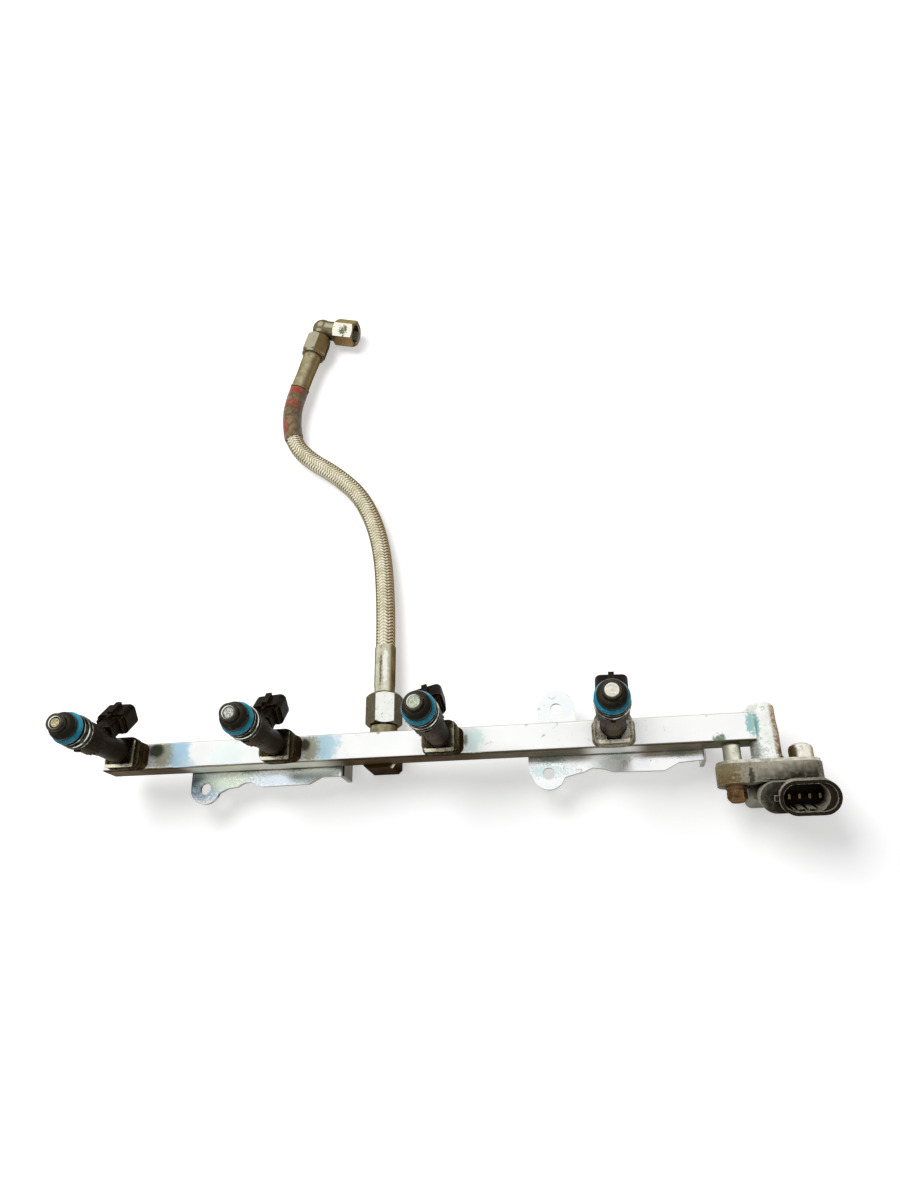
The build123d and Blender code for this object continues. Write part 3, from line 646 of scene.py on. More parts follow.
@dataclass(frozen=True)
class Sleeve:
    """Shrunk-on marker sleeve: brown film with red bands at given distances from its far end."""

    bands: tuple[Pair, ...] = ((0.0, 5.0), (9.2, 13.4))
    seams: tuple[float, ...] = (5.4, 13.9, 14.6)
    soft: float = 0.3
    film: str = "#806c4c"
    dark: str = "#483620"
    red: str = "#923624"
    patch: Patch = Patch((-60.5, 211.0, 0.0), 5.5, "#983624", 0.9, 0.4, 600.0, (1.3, 0.6, 0.5))

    def make(self) -> Material:
        """Builds the material, which reads the distance from the mesh's own map.

        Returns:
            The material.
        """
        g = Graph("marker_sleeve_film")
        place = g.add("UVMap", uv_map=TUBE_MAP).outputs[0]
        tides = g.span(g.noise(420, 5, 0.65, 0.8), 0.38, 0.62)
        colour = g.mix(g.times(tides, 0.8), self.film, self.dark)
        along = g.calc("ADD", g.axis(1, place), g.wander(260, 3, 0.5 * MM, (0.25, 0.75)))
        for low, high in self.bands:
            fade = g.span(g.noise(560, 4, 0.65), 0.38, 0.58, 0.25, 1)
            inside = g.band(along, low + self.soft, high - self.soft, 2 * self.soft)
            colour = g.mix(g.times(inside, fade), colour, self.red)
        colour = self.patch.lay(g, colour)
        for seam in self.seams:
            line = g.span(g.off(along, seam * MM), 0.4 * MM, 0.15 * MM)
            colour = g.mix(g.times(line, 0.7), colour, self.dark)
        # Painted shade: darker on the flanks turned to the right and left.
        for side in ((0.95, 0.1, 0), (-0.95, -0.1, 0)):
            colour = g.mix(g.times(g.turned_to(side, 0.4, 0.95), 0.75), colour, self.dark)
        g.bump(g.noise(1300, 4), 0.06 * MM, 0.6)
        return g.finish(Base_Color=colour, Roughness=g.span(tides, 0, 1, 0.34, 0.55, False),
                        Metallic=0.15)


Finish = Metal | Plastic | Rubber | Braid | Sleeve

UP = (0, 0, 1)
FRONT = (0, -1, 0)
RIGHT = (1, 0, 0)
LEFT = (-1, 0, 0)
BACK = (0, 1, 0)
DOWN = (0, 0, -1)
MOUTH = (0, -0.342, 0.94)  # where the sensor's mouth opens

RAIL_ZINC = Metal(
    # The dark edge colour paints outline shade on the edges.
    "rail_zinc", "#fdfefc", "#f4f7f5", "#4e4836", "#96a69e",
    blotch=0.3, stain_share=0, rough=(0.3, 0.45), grain=Grain.DRAWN_X, grain_share=0.06, feature=70,
    edge_width=0.55, edge_share=0.9, metallic=0.75, rim=(0.45, 0.42, 0.35),
    # Sides: the front face is painted dark brown as a dark reflection, with a pale painted reflection from
    # x -95 to -9, a greyer one from 44 to 260 and a painted highlight from 98 to 131; the back, underside
    # and left end take painted shade.
    sides=(
        Side(FRONT, "#3c260a", 0.3, 0.5),
        Side(FRONT, "#e8e5d6", 0.55, 0.9, 0.95, (-95, -84, -28, -9)),
        Side(FRONT, "#605848", 0.3, 0.5, 0.9, (44, 66, 250, 260)),
        Side(FRONT, "#fafaf8", 0.6, 0.97, 0.9, (98, 107, 121, 131)),
        Side(BACK, "#b0a68e", 0.5, 0.8),
        Side(DOWN, "#78705c", 0.5, 0.8),
        Side(LEFT, "#605238", 0.5, 0.8),
    ),
    patches=(
        Patch((-95, 15.6, 13), 8.5, "#aad2e8", 0.9, 0.3, 420, (1, 0.8, 1), UP),
        Patch((-91.5, 10, 13), 7, "#c4e0f0", 0.7, 0.4, 420, (0.9, 1.4, 1), UP),
        Patch((-102, 14.6, 13), 7.5, "#b0ae94", 0.85, 0.45, 900, (1.2, 0.7, 1), UP),
        Patch((-105.6, 16.9, 13), 5.2, "#424c3a", 0.95, 0.15, 500, (0.92, 1.12, 1), UP),
        Patch((-20.5, 16, 13), 8.5, "#b2d8e8", 0.85, 0.3, 420, (0.9, 0.8, 1), UP),
        Patch((-27, 14.2, 13), 6, "#b0aa8e", 0.85, 0.45, 900, (1.2, 0.7, 1), UP),
        Patch((-29.8, 16, 13), 3.6, "#4a4a34", 0.95, 0.15, 500, (1.08, 0.93, 1), UP),
        Patch((51, 14.3, 13), 6, "#d0eae4", 0.7, 0.5, 500, (1, 0.7, 1), UP),
        Patch((47.4, 14.5, 13), 3, "#808a70", 0.9, 0.3, 500, (1.9, 0.85, 1), UP),
        Patch((-69, 14, 13), 9, "#e2f6f4", 0.35, 0.5, 420, (0.7, 1, 1), UP),
        Patch((5.8, 20.6, 13), 1.6, "#78705c", 0.6, 0.7, 600),
        Patch((174.6, 15.5, 13), 5, "#8cbeba", 0.9, 0.5, 900, (1.8, 0.7, 1), UP),
        # Painted shade: dark lines along the top and the foot of the front face.
        Patch((0, 0, 12.7), 0.9, "#2c2a1a", 0.85, 0.3, 300, (0, 0, 1), FRONT),
        Patch((0, 0, 0.3), 2.2, "#342e1c", 0.9, 0.3, 300, (0, 0, 1), FRONT),
        Patch((160.7, 8.4, 12.4), 3.8, "#627052", 0.9, 0.5, 700),
        Patch((170, 7.9, 3), 5, "#627860", 0.6, 0.8, 500),
    ),
)
BRACKET_ZINC = Metal(
    "bracket_zinc", "#fffffe", "#f4fafb", "#f0f1ec", "#8c9e92",
    blotch=0.7, stain_share=0, speck=0.12, rough=(0.12, 0.25), grain=Grain.DRAWN_X, grain_share=0.04,
    feature=75, edge_width=0.3, edge_share=0.6, metallic=0.9, rim=(0.95, 0.95, 0.93),
    # Sides: painted shade on the front, left and right flanks and on the underside.
    sides=(Side(FRONT, "#78725c", 0.5, 0.9), Side(LEFT, "#828070", 0.5, 0.9, 0.7),
           Side(RIGHT, "#4a3a26", 0.6, 0.9), Side(DOWN, "#b0b0a6", 0.5, 0.8)),
    patches=tuple(
        Patch(spot, reach, colour, share, 0.8, scale, (0.3, 1, 1), UP)
        for spot, reach, colour, share, scale in (
            ((-86, 8, 0), 2.6, "#687a68", 0.7, 1500),
            ((-62, 8, 0), 2.2, "#687a68", 0.7, 1500),
            ((-38, 8, 0), 2.2, "#687864", 0.7, 1500),
            ((-16, 8, 0), 2.2, "#687a68", 0.7, 1500),
            ((-84, 2, 0), 9, "#acd4ec", 0.75, 700),
            ((-74, 3, 0), 6, "#ecf0c8", 0.6, 700),
            ((-48, 3, 0), 6, "#c8def0", 0.5, 700),
            ((-28, 4, 0), 5, "#d6ece8", 0.5, 700),
            ((86, 6.6, 0), 2.6, "#82b2aa", 0.6, 1300),
            ((84, 1, 0), 3.6, "#c4e2e2", 0.6, 900),
            ((117, 6.6, 0), 2.2, "#80988c", 0.6, 1500),
            ((144, 6.8, 0), 2.6, "#809888", 0.6, 1500))
    ),
)
BRONZE = Metal(
    "cup_bronze", "#423622", "#22190c", "#a89e82", "#140d05",
    blotch=0.7, stain_share=0.35, rough=(0.22, 0.45), feature=300, edge_width=0.5, edge_share=0.9,
    # Sides: painted light on faces turned up, painted shade on faces turned to the front and right.
    sides=(Side(UP, "#5c523a", 0.7, 0.95, 0.7), Side(FRONT, "#281a0c", 0.5, 0.9, 0.7),
           Side(RIGHT, "#2c1f0f", 0.7, 0.95, 0.5)),
)
SILVERED = Metal(
    "cup_silvered", "#bab4a2", "#5a513e", "#f0ece0", "#281f13",
    blotch=0.9, stain_share=0.8, speck=1, rough=(0.3, 0.55), feature=520, edge_width=0.5,
)
OLIVE = Metal(
    "olive_steel", "#8a8166", "#5e543a", "#c8c0a4", "#3e321e",
    blotch=0.7, stain_share=0.35, speck=0.4, rough=(0.28, 0.45), feature=320, edge_share=0.8,
    edge_width=0.5,
    # Sides: each facet of the elbow is painted its own light or shade, darkest to the right, with a painted
    # highlight on faces turned up.
    sides=(Side((0.92, -0.28, -0.28), "#4c381e", 0.55, 0.85, 0.9),
           Side((0.7, -0.2, 0.68), "#6c5834", 0.8, 0.97, 0.85),
           Side((-0.7, 0.2, 0.68), "#706648", 0.86, 0.98, 0.8),
           Side(UP, "#c4bea6", 0.93, 0.99, 0.8),
           Side((-0.28, -0.96, 0), "#686250", 0.5, 0.9, 0.8)),
)
INLET_STEEL = Metal(
    "inlet_steel", "#4c3816", "#342408", "#968668", "#2c1c08",
    blotch=0.7, stain_share=0.3, rough=(0.3, 0.5), feature=200, edge_share=0.7,
    # Painted highlight: a near-white glint on the block.
    patches=(Patch((10.4, 6.6, -0.6), 1.9, "#faf8f0", 0.95, 0.5, 500),),
)
UNION_STEEL = Metal(
    "union_steel", "#aaa484", "#746a4a", "#e4dec8", "#463820",
    blotch=0.6, stain_share=0.25, rough=(0.25, 0.42), feature=260, grain=Grain.DRAWN_Y,
    # Sides: painted shade on the right and left flanks.
    sides=(Side(RIGHT, "#54482e", 0.5, 0.9), Side(LEFT, "#605638", 0.6, 0.95)),
)
NUT_STEEL = Metal(
    "union_nut_steel", "#fafbf6", "#e8e9e0", "#cec8b2", "#787464",
    blotch=0.35, stain_share=0, rough=(0.2, 0.35), feature=120, scratches=0.75, edge_share=0.85,
    edge_width=0.5, metallic=0.75,
    # Sides: painted shade on the facets turned away from the light, so that the flats facing it keep the
    # near-white base as a painted highlight.
    sides=(
        Side((-0.695, 0, 0.719), "#3e3214", 0.82, 0.95), Side(RIGHT, "#2e230c", 0.6, 0.9),
        Side(LEFT, "#382e1a", 0.8, 0.95), Side(FRONT, "#4e422a", 0.3, 0.7),
        Side(BACK, "#827a5e", 0.3, 0.7), Side(DOWN, "#54482e", 0.3, 0.6),
    ),
)
FERRULE_STEEL = Metal(
    "ferrule_steel", "#e2e0cc", "#b0aa8a", "#d6d0b6", "#5c5234",
    blotch=0.6, stain_share=0.1, rough=(0.22, 0.4), grain=Grain.DRAWN_Y, grain_share=0.35, feature=150,
    edge_share=0.6, scratches=0.5,
    # Sides: painted shade on the right, left and under sides.
    sides=(Side((0.98, 0, -0.2), "#48381c", 0.3, 0.7), Side((-0.98, 0, -0.2), "#686042", 0.4, 0.85),
           Side(DOWN, "#64583c", 0.3, 0.8)),
    # Painted reflection: a dark streak and, beside it, a bright highlight streak along the ferrule.
    patches=(Patch((2.2, 58, -2.7), 1.3, "#3c3a30", 0.75, 0.9, 900, (1.6, 0.11, 1)),
             Patch((4.6, 59, -2.7), 1.6, "#fafaf4", 0.8, 0.5, 500, (1, 0.13, 1))),
)
END_FERRULE_STEEL = Metal(
    "end_ferrule_steel", "#beb696", "#867a5a", "#d8d2b4", "#584c2e",
    blotch=0.7, stain_share=0.3, rough=(0.25, 0.42), grain=Grain.DRAWN_Y, grain_share=0.4, feature=260,
    # Sides: painted shade on the right flank and, lighter, on the left.
    sides=(Side((0.96, -0.28, 0), "#604e30", 0.3, 0.8, 0.95),
           Side((-0.96, 0.28, 0), "#766c50", 0.35, 0.85, 0.95)),
)
END_NUT_STEEL = Metal(
    "end_nut_steel", "#faf9e8", "#f4f1dc", "#806c40", "#3c3a2a",
    blotch=0.3, stain_share=0, rough=(0.18, 0.32), feature=160, scratches=0.6, edge_share=0.8,
    edge_width=0.3, metallic=0.85, rim=(0.5, 0.45, 0.3),
    # Sides: each facet painted lit or shaded: pale on the one turned left and back, dark on the one turned
    # right, brown on the others.
    sides=(
        Side((-0.28, -0.95, 0.11), "#6e4a16", 0.8, 0.93),
        Side((0.17, 0.57, 0.80), "#7a683e", 0.8, 0.93),
        Side((0.28, 0.95, -0.11), "#685836", 0.8, 0.93),
        Side((0.96, -0.28, 0), "#3e2e14", 0.3, 0.8),
        Side((-0.96, 0.28, 0), "#c4b68c", 0.5, 0.9),
        Side(DOWN, "#786236", 0.5, 0.8),
    ),
    patches=(Patch((-26.8, 273.4, -0.6), 3.2, "#58583a", 0.9, 0.8, 900, (1.1, 0.7, 1)),
             Patch((-24.4, 274.6, -0.6), 1.8, "#54523a", 0.9, 0.7, 1100, (1.6, 0.6, 1))),
)
ADAPTER_STEEL = Metal(
    "adapter_steel", "#fdfefb", "#e8ece4", "#ded9ca", "#a0947a",
    blotch=0.6, stain_share=0.3, speck=0.5, rough=(0.3, 0.45), feature=160, edge_share=0.6,
    metallic=0.75, rim=(0.6, 0.58, 0.5),
    # Sides: painted shade, brown on the right and grey on the left and underside.
    sides=(Side((0.98, 0, 0.2), "#beac94", 0.55, 0.75),
           Side((0.98, -0.1, -0.1), "#887054", 0.85, 0.97),
           Side((-0.98, 0, 0.1), "#dee4da", 0.75, 0.97),
           Side(DOWN, "#82765c", 0.3, 0.8)),
    patches=(Patch((176.4, 15, 12.5), 4.4, "#80b4b2", 0.9, 0.5, 900, (1.9, 0.6, 0.8)),
             Patch((177, 3, 8), 8, "#9eaca0", 0.6, 0.9, 900, (1.4, 1, 1)),
             Patch((184.6, 8, 9), 3.4, "#685038", 0.8, 0.9, 900, (1, 0.2, 1))),
)
SPACER_STEEL = Metal(
    "spacer_steel", "#f0f0e0", "#cccab4", "#eceade", "#6e6c54",
    blotch=0.7, stain_share=0.3, speck=0.4, rough=(0.3, 0.5), feature=260,
    # Sides: painted shade on the right and left flanks.
    sides=(Side(RIGHT, "#b0a88e", 0.7, 0.97), Side(LEFT, "#c4c2ac", 0.75, 0.97)),
    patches=(Patch((160.6, 6.8, 12), 3.4, "#688262", 0.9, 0.6, 700),),
)
FLANGE_STEEL = Metal(
    "flange_steel", "#e2e2d6", "#a09a84", "#ece8da", "#68604a",
    blotch=0.7, stain_share=0.5, speck=0.6, rough=(0.3, 0.5), feature=260,
)
RUSTED = Metal(
    "screw_rust", "#7e6244", "#4a321c", "#ceb896", "#543016",
    blotch=0.85, stain_share=0.6, speck=0.5, rough=(0.3, 0.55), feature=420, metallic=0.7,
)
PALE_SCREW = Metal(
    "screw_plated", "#fdfbf2", "#ccc6ac", "#fcfaf0", "#60543a",
    blotch=0.6, stain_share=0.35, speck=0.6, rough=(0.25, 0.45), feature=420,
    # Sides: painted shade on faces turned up and left, and on faces turned right.
    sides=(Side((-0.9, 0, 0.44), "#625232", 0.72, 0.88),
           Side((0.98, 0, 0.2), "#ac9c7a", 0.65, 0.9)),
)
COPPERY = Metal(
    "contact_copper", "#705430", "#301e0c", "#e8d8b6", "#180d05",
    blotch=0.7, stain_share=0.4, rough=(0.2, 0.35), feature=900, edge_width=0.2, edge_share=0.7,
)
COVER = Plastic(
    "cover_plastic", "#110b05", "#3c301f", "#807156", dust_share=0.35,
    rough=(0.35, 0.5), edge_share=0.85, specular=0.012, feature=420, edge_width=0.4,
    # Sides: painted sheen, lighter on faces turned up, to the front and to the right front.
    sides=(Side(UP, "#241c11", 0.7, 1, 0.75), Side(FRONT, "#483723", 0.75, 1, 0.75),
           Side((0.91, -0.41, 0), "#2c2317", 0.7, 1, 0.75)),
)
CAP = Plastic(
    "nozzle_plastic", "#24221a", "#5c584c", "#bebaa8", dust_share=0.3,
    rough=(0.12, 0.28), texture=0.01 * MM, edge_share=0.85, specular=0.03, feature=420,
    # Sides: painted sheen, lighter on faces turned up.
    sides=(Side(UP, "#4a4234", 0.75, 1, 0.75),),
)
SENSOR_SHELL = Plastic(
    "sensor_plastic", "#545040", "#c4beaa", "#ded7c4", dust_share=0.95,
    # Painted shade: the recess reach and dark colour darken the mouth's recess.
    rough=(0.4, 0.65), edge_share=0.9, specular=0.02, feature=760, recess_shade_reach=5, edge_width=0.45,
    dark="#160e07",
    # Sides: painted light on faces turned up, to the front and to the front left.
    sides=(Side(UP, "#a09a88", 0.7, 0.95, 0.7), Side(FRONT, "#807d6a", 0.6, 0.95, 0.6),
           Side((-0.8, -0.55, 0.2), "#a6a28e", 0.5, 0.9, 0.7)),
    patches=(
        Patch((160.5, -6, 13), 9, "#7a6d49", 0.8, 0.6, 900),
        Patch((163, -12, 11), 8, "#6c5636", 0.8, 0.6, 900),
        Patch((186, -5.5, 15), 12, "#c8c1ae", 0.6, 0.8, 1000),
        Patch((177, -15, 13.5), 9, "#a0a394", 0.7, 0.8, 1000),
        Patch((171.6, -10, 15), 4, "#302a1e", 0.85, 0.6, 900, (2.4, 0.5, 1)),
        Patch((194, -18.9, 18.2), 32, "#1b140b", 0.97, 0.12, 500, (1, 1.55, 1), MOUTH),
    ),
)
# The third colour of each seal is its painted shade.
BLUE = Rubber("seal_blue", "#0884a0", "#54c4d6", "#064860")
BLACK_RUBBER = Rubber("seal_black", "#1e1c18", "#46423a", "#100e0c")
VALVE_STEEL = BandedSteel(
    "valve_steel", "#4a4c42", "#14120c", "#d8d8cc", "#0e0a05",
    blotch=0.8, stain_share=0.5, rough=(0.12, 0.3), grain=Grain.TURNED_Z, feature=420, edge_width=0.2,
    edge_share=0.6, rings=((60.4, 60.6), (62.8, 63.2), (66.0, 66.4)),
)
CLIP_SILVERED = Metal(
    "clip_silvered", "#c4c0b2", "#7c7462", "#f6f4e8", "#382e20",
    blotch=0.9, stain_share=0.6, speck=0.9, feature=420,
)
CLIP_OLIVE = Metal(
    "clip_olive", "#48402c", "#241b0e", "#c4bca0", "#181108",
    blotch=0.8, stain_share=0.35, rough=(0.2, 0.4), feature=260,
)


def clip_steel(number: int, across: float) -> Metal:
    """Clip steel with a painted highlight along its lip, silvery on the fourth injector and olive with a
    painted ridge highlight on the others.

    Args:
        number: the injector's number.
        across: x of its axis in millimetres.

    Returns:
        The finish.
    """
    # Painted highlight: a bright cream line along the lip.
    lip = Patch((across, 7.95, 23.4), 1.4, "#f6f0d8", 0.98, 0.08, 500, (0.05, 1, 1.8))
    if number == 4:
        return replace(CLIP_SILVERED, patches=(lip,))
    # Painted highlight: a thin light line down the right-hand ridge.
    right = Patch((across + 6.9, 14.4, 23), 1, "#d0c6ac", 0.85, 0.25, 500, (1, 0.08, 1))
    flange = Patch((across + 5.4, 13.4, 23), 1.9, "#7a705a", 0.6, 0.5, 500, (1, 0.3, 1))
    return replace(CLIP_OLIVE, name=f"clip_olive_{number}", patches=(flange, right, lip))


DISC_TINTS = {  # pale and dark tint of each nozzle's face, and the radius where the painted shade of its groove begins
    1: ("#e8deb0", "#605432", 1.9),
    2: ("#f0f2ec", "#706e62", 2.15),
    3: ("#d8e4cc", "#96a088", 2.4),
    4: ("#faf8ec", "#cec8b6", 2.6),
}


def placed(name: str, data: bpy.types.ID) -> bpy.types.Object:
    """A new object of the scene, which shows a mesh, lamp or camera."""
    holder = bpy.data.objects.new(name, data)
    bpy.context.scene.collection.objects.link(holder)
    return holder


@cache
def made(finish: Finish) -> Material:
    """The material of a finish, built at its first use."""
    return finish.make()


def dress(frame: dict, finish: Finish, *nodes: str) -> None:
    """Gives nodes of the frame one finish.

    Args:
        frame: the loaded frame.
        finish: their new finish.
        nodes: names of the nodes.
    """
    material = made(finish)
    for name in nodes:
        piece = frame["nodes"][name]
        if not piece.material_slots:
            piece.data.materials.append(material)
        for holder in piece.material_slots:
            holder.material = material
        LOG.info("dressed %s in %s", name, material.name)


def add_piece(name: str, mesh: bpy.types.Mesh, finish: Finish, body: str = "rail") -> bpy.types.Object:
    """Puts a mesh into the scene as a piece of the object.

    Args:
        name: the piece's name.
        mesh: its mesh, in the frame's coordinates.
        finish: its finish.
        body: the body that carries it.

    Returns:
        The piece.
    """
    mesh.materials.append(made(finish))
    mesh.shade_smooth()
    piece = placed(name, mesh)
    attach(piece, body)
    LOG.info("built %s with %d faces", name, len(mesh.polygons))
    return piece


def tube_mesh(name: str, line: list[Vector], around: int,
              radius: Callable[[float, float], float]) -> bpy.types.Mesh:
    """Skin round a line of points, with a map of turn and distance.

    Args:
        name: the mesh's name.
        line: the points.
        around: vertices round the line.
        radius: radius for a turn from 0 to 1 and a distance in metres.

    Returns:
        The mesh.
    """
    tangents = [(after - before).normalized()
                for before, after in zip([line[0], *line[:-1]], [*line[1:], line[-1]])]
    side = Vector(UP).cross(tangents[0]).normalized()
    vertices, places = [], []
    for before, point, tangent in zip([line[0], *line], line, tangents):
        places.append((places[-1] if places else 0.0) + (point - before).length)
        side = (side - tangent * side.dot(tangent)).normalized()
        top = tangent.cross(side)
        for step in range(around):
            angle = math.tau * step / around
            out = side * math.cos(angle) + top * math.sin(angle)
            vertices.append(point + out * radius(step / around, places[-1]))
    faces = []
    for low in range(0, (len(line) - 1) * around, around):
        for step in range(around):
            after = (step + 1) % around
            faces.append((low + step, low + after, low + around + after, low + around + step))
    mesh = bpy.data.meshes.new(name)
    mesh.from_pydata(vertices, [], faces)
    layer = mesh.uv_layers.new(name=TUBE_MAP)
    for number, face in enumerate(mesh.polygons):
        ring, step = divmod(number, around)
        corners = ((step, ring), (step + 1, ring), (step + 1, ring + 1), (step, ring + 1))
        for loop, (turn, place) in zip(face.loop_indices, corners):
            layer.data[loop].uv = (turn / around, places[place])
    return mesh


def turned_mesh(name: str, outline: list[Pair], centre: Triple, around: int,
                shape: Callable[[float, float], float]) -> bpy.types.Mesh:
    """Skin of an outline turned round a vertical axis.

    Args:
        name: the mesh's name.
        outline: radius and height of each point in millimetres, from the axis outwards.
        centre: the axis's foot in millimetres.
        around: vertices round the axis.
        shape: height in millimetres to add at a place beside the axis.

    Returns:
        The mesh.
    """
    work = bmesh.new()
    rings = []
    for radius, height in outline:
        steps = around if radius else 1
        ring = []
        for step in range(steps):
            angle = math.tau * step / steps
            x, y = radius * math.cos(angle), radius * math.sin(angle)
            spot = Vector((centre[0] + x, centre[1] + y, centre[2] + height + shape(x, y))) * MM
            ring.append(work.verts.new(spot))
        rings.append(ring)
    for inner, outer in zip(rings, rings[1:]):
        for step in range(around):
            after = (step + 1) % around
            inside = inner if len(inner) == 1 else (inner[after], inner[step])
            work.faces.new((*inside, outer[step], outer[after]))
    mesh = bpy.data.meshes.new(name)
    work.to_mesh(mesh)
    work.free()
    return mesh


@dataclass
class Studio:
    """Camera, floor, lamps and surroundings."""

    camera_at: Triple = (0.11041, -0.08943, 0.41434)
    right: Triple = (0.98471, -0.00705, -0.17406)
    up: Triple = (0.07503, 0.91893, 0.38724)
    back: Triple = (0.15722, -0.39438, 0.90540)
    sensor_width: float = 36.0
    lens: float = 26.913
    nearest: float = 0.01
    floor_z: float = -0.017
    floor_reach: float = 6.0
    floor_colour: Triple = (0.80, 0.80, 0.80)
    floor_glow: float = 0.42
    far: Pair = (0.45, 1.3)
    far_glow: float = 0.6
    world_light: float = 0.25
    lamps: tuple[tuple[str, Triple, Triple, float, float], ...] = (
        ("key_lamp", (-0.32, 0.46, 0.85), (0.02, 0.05, 0.0), 0.75, 9.0),
        ("fill_lamp", (0.60, -0.30, 0.60), (0.10, 0.03, 0.0), 0.6, 0.5),
        ("front_lamp", (-0.25, -0.55, 0.55), (0.0, 0.08, 0.0), 0.5, 0.5),
    )

    def build(self) -> None:
        """Makes everything round the object."""
        self.camera()
        for name, spot, aim, size, power in self.lamps:
            self.lamp(name, Vector(spot), Vector(aim), size, power)
        self.floor()
        self.world()
        bpy.context.scene.view_settings.view_transform = "Standard"

    def lamp(self, name: str, spot: Vector, aim: Vector, size: float, power: float) -> None:
        """Hangs a soft round lamp that no surface mirrors.

        Args:
            name: the lamp's name.
            spot: where it hangs.
            aim: what it points at.
            size: its width in metres.
            power: its power in watts.
        """
        lamp = bpy.data.lights.new(name, "AREA")
        lamp.shape = "DISK"
        lamp.size = size
        lamp.energy = power
        holder = placed(name, lamp)
        holder.location = spot
        holder.rotation_euler = (aim - spot).to_track_quat("-Z", "Y").to_euler()
        holder.visible_glossy = False

    def camera(self) -> None:
        """Places the camera where the object is seen from above and a little from the right."""
        data = bpy.data.cameras.new("camera")
        data.sensor_width = self.sensor_width
        data.lens = self.lens
        data.clip_start = self.nearest
        camera = placed("camera", data)
        turn = Matrix((self.right, self.up, self.back)).transposed()
        camera.matrix_world = Matrix.Translation(self.camera_at) @ turn.to_4x4()
        bpy.context.scene.camera = camera

    def floor(self) -> None:
        """Pale floor that looks white, near and far, and still takes the object's shadow."""
        mesh = bpy.data.meshes.new("floor")
        corners = [(x * self.floor_reach, y * self.floor_reach, self.floor_z)
                   for x, y in ((-1, -1), (1, -1), (1, 1), (-1, 1))]
        mesh.from_pydata(corners, [], [(0, 1, 2, 3)])
        floor = placed("floor", mesh)
        g = Graph("floor_paper")
        x, y = g.axis(0), g.axis(1)
        away = g.calc("SQRT", g.calc("ADD", g.times(x, x), g.times(y, y)))
        lift = g.times(g.ray("Camera"), g.span(away, *self.far, 0.0, self.far_glow))
        glow = g.calc("ADD", g.times(g.seen(), self.floor_glow), lift)
        mesh.materials.append(g.finish(Base_Color=self.floor_colour, Roughness=0.9,
                                       Emission_Color="#ffffff", Emission_Strength=glow))

    def world(self) -> None:
        """White to the eye and in reflections, softer as a light."""
        g = Graph("studio", world=True)
        g.finish(Color="#ffffff", Strength=g.span(g.seen(), 0.0, 1.0, self.world_light, 1.0, False))
        bpy.context.scene.world = g.owner


@dataclass
class Rail:
    """Square rail tube with its end cap, and the two brackets under it."""

    frame: dict

    def build(self) -> None:
        """Dresses the tube, cap and brackets."""
        dress(self.frame, RAIL_ZINC, "rail_tube", "rail_end_cap")
        dress(self.frame, BRACKET_ZINC, "left_bracket", "right_bracket")


@dataclass
class InletFittings:
    """Block under the rail, union, nipple, union nut and the hose's first ferrule."""

    frame: dict

    def build(self) -> None:
        """Dresses each fitting."""
        dress(self.frame, INLET_STEEL, "inlet_block")
        dress(self.frame, UNION_STEEL, "inlet_union", "rail_nipple")
        dress(self.frame, NUT_STEEL, "rail_union_nut")
        dress(self.frame, FERRULE_STEEL, "rail_ferrule")


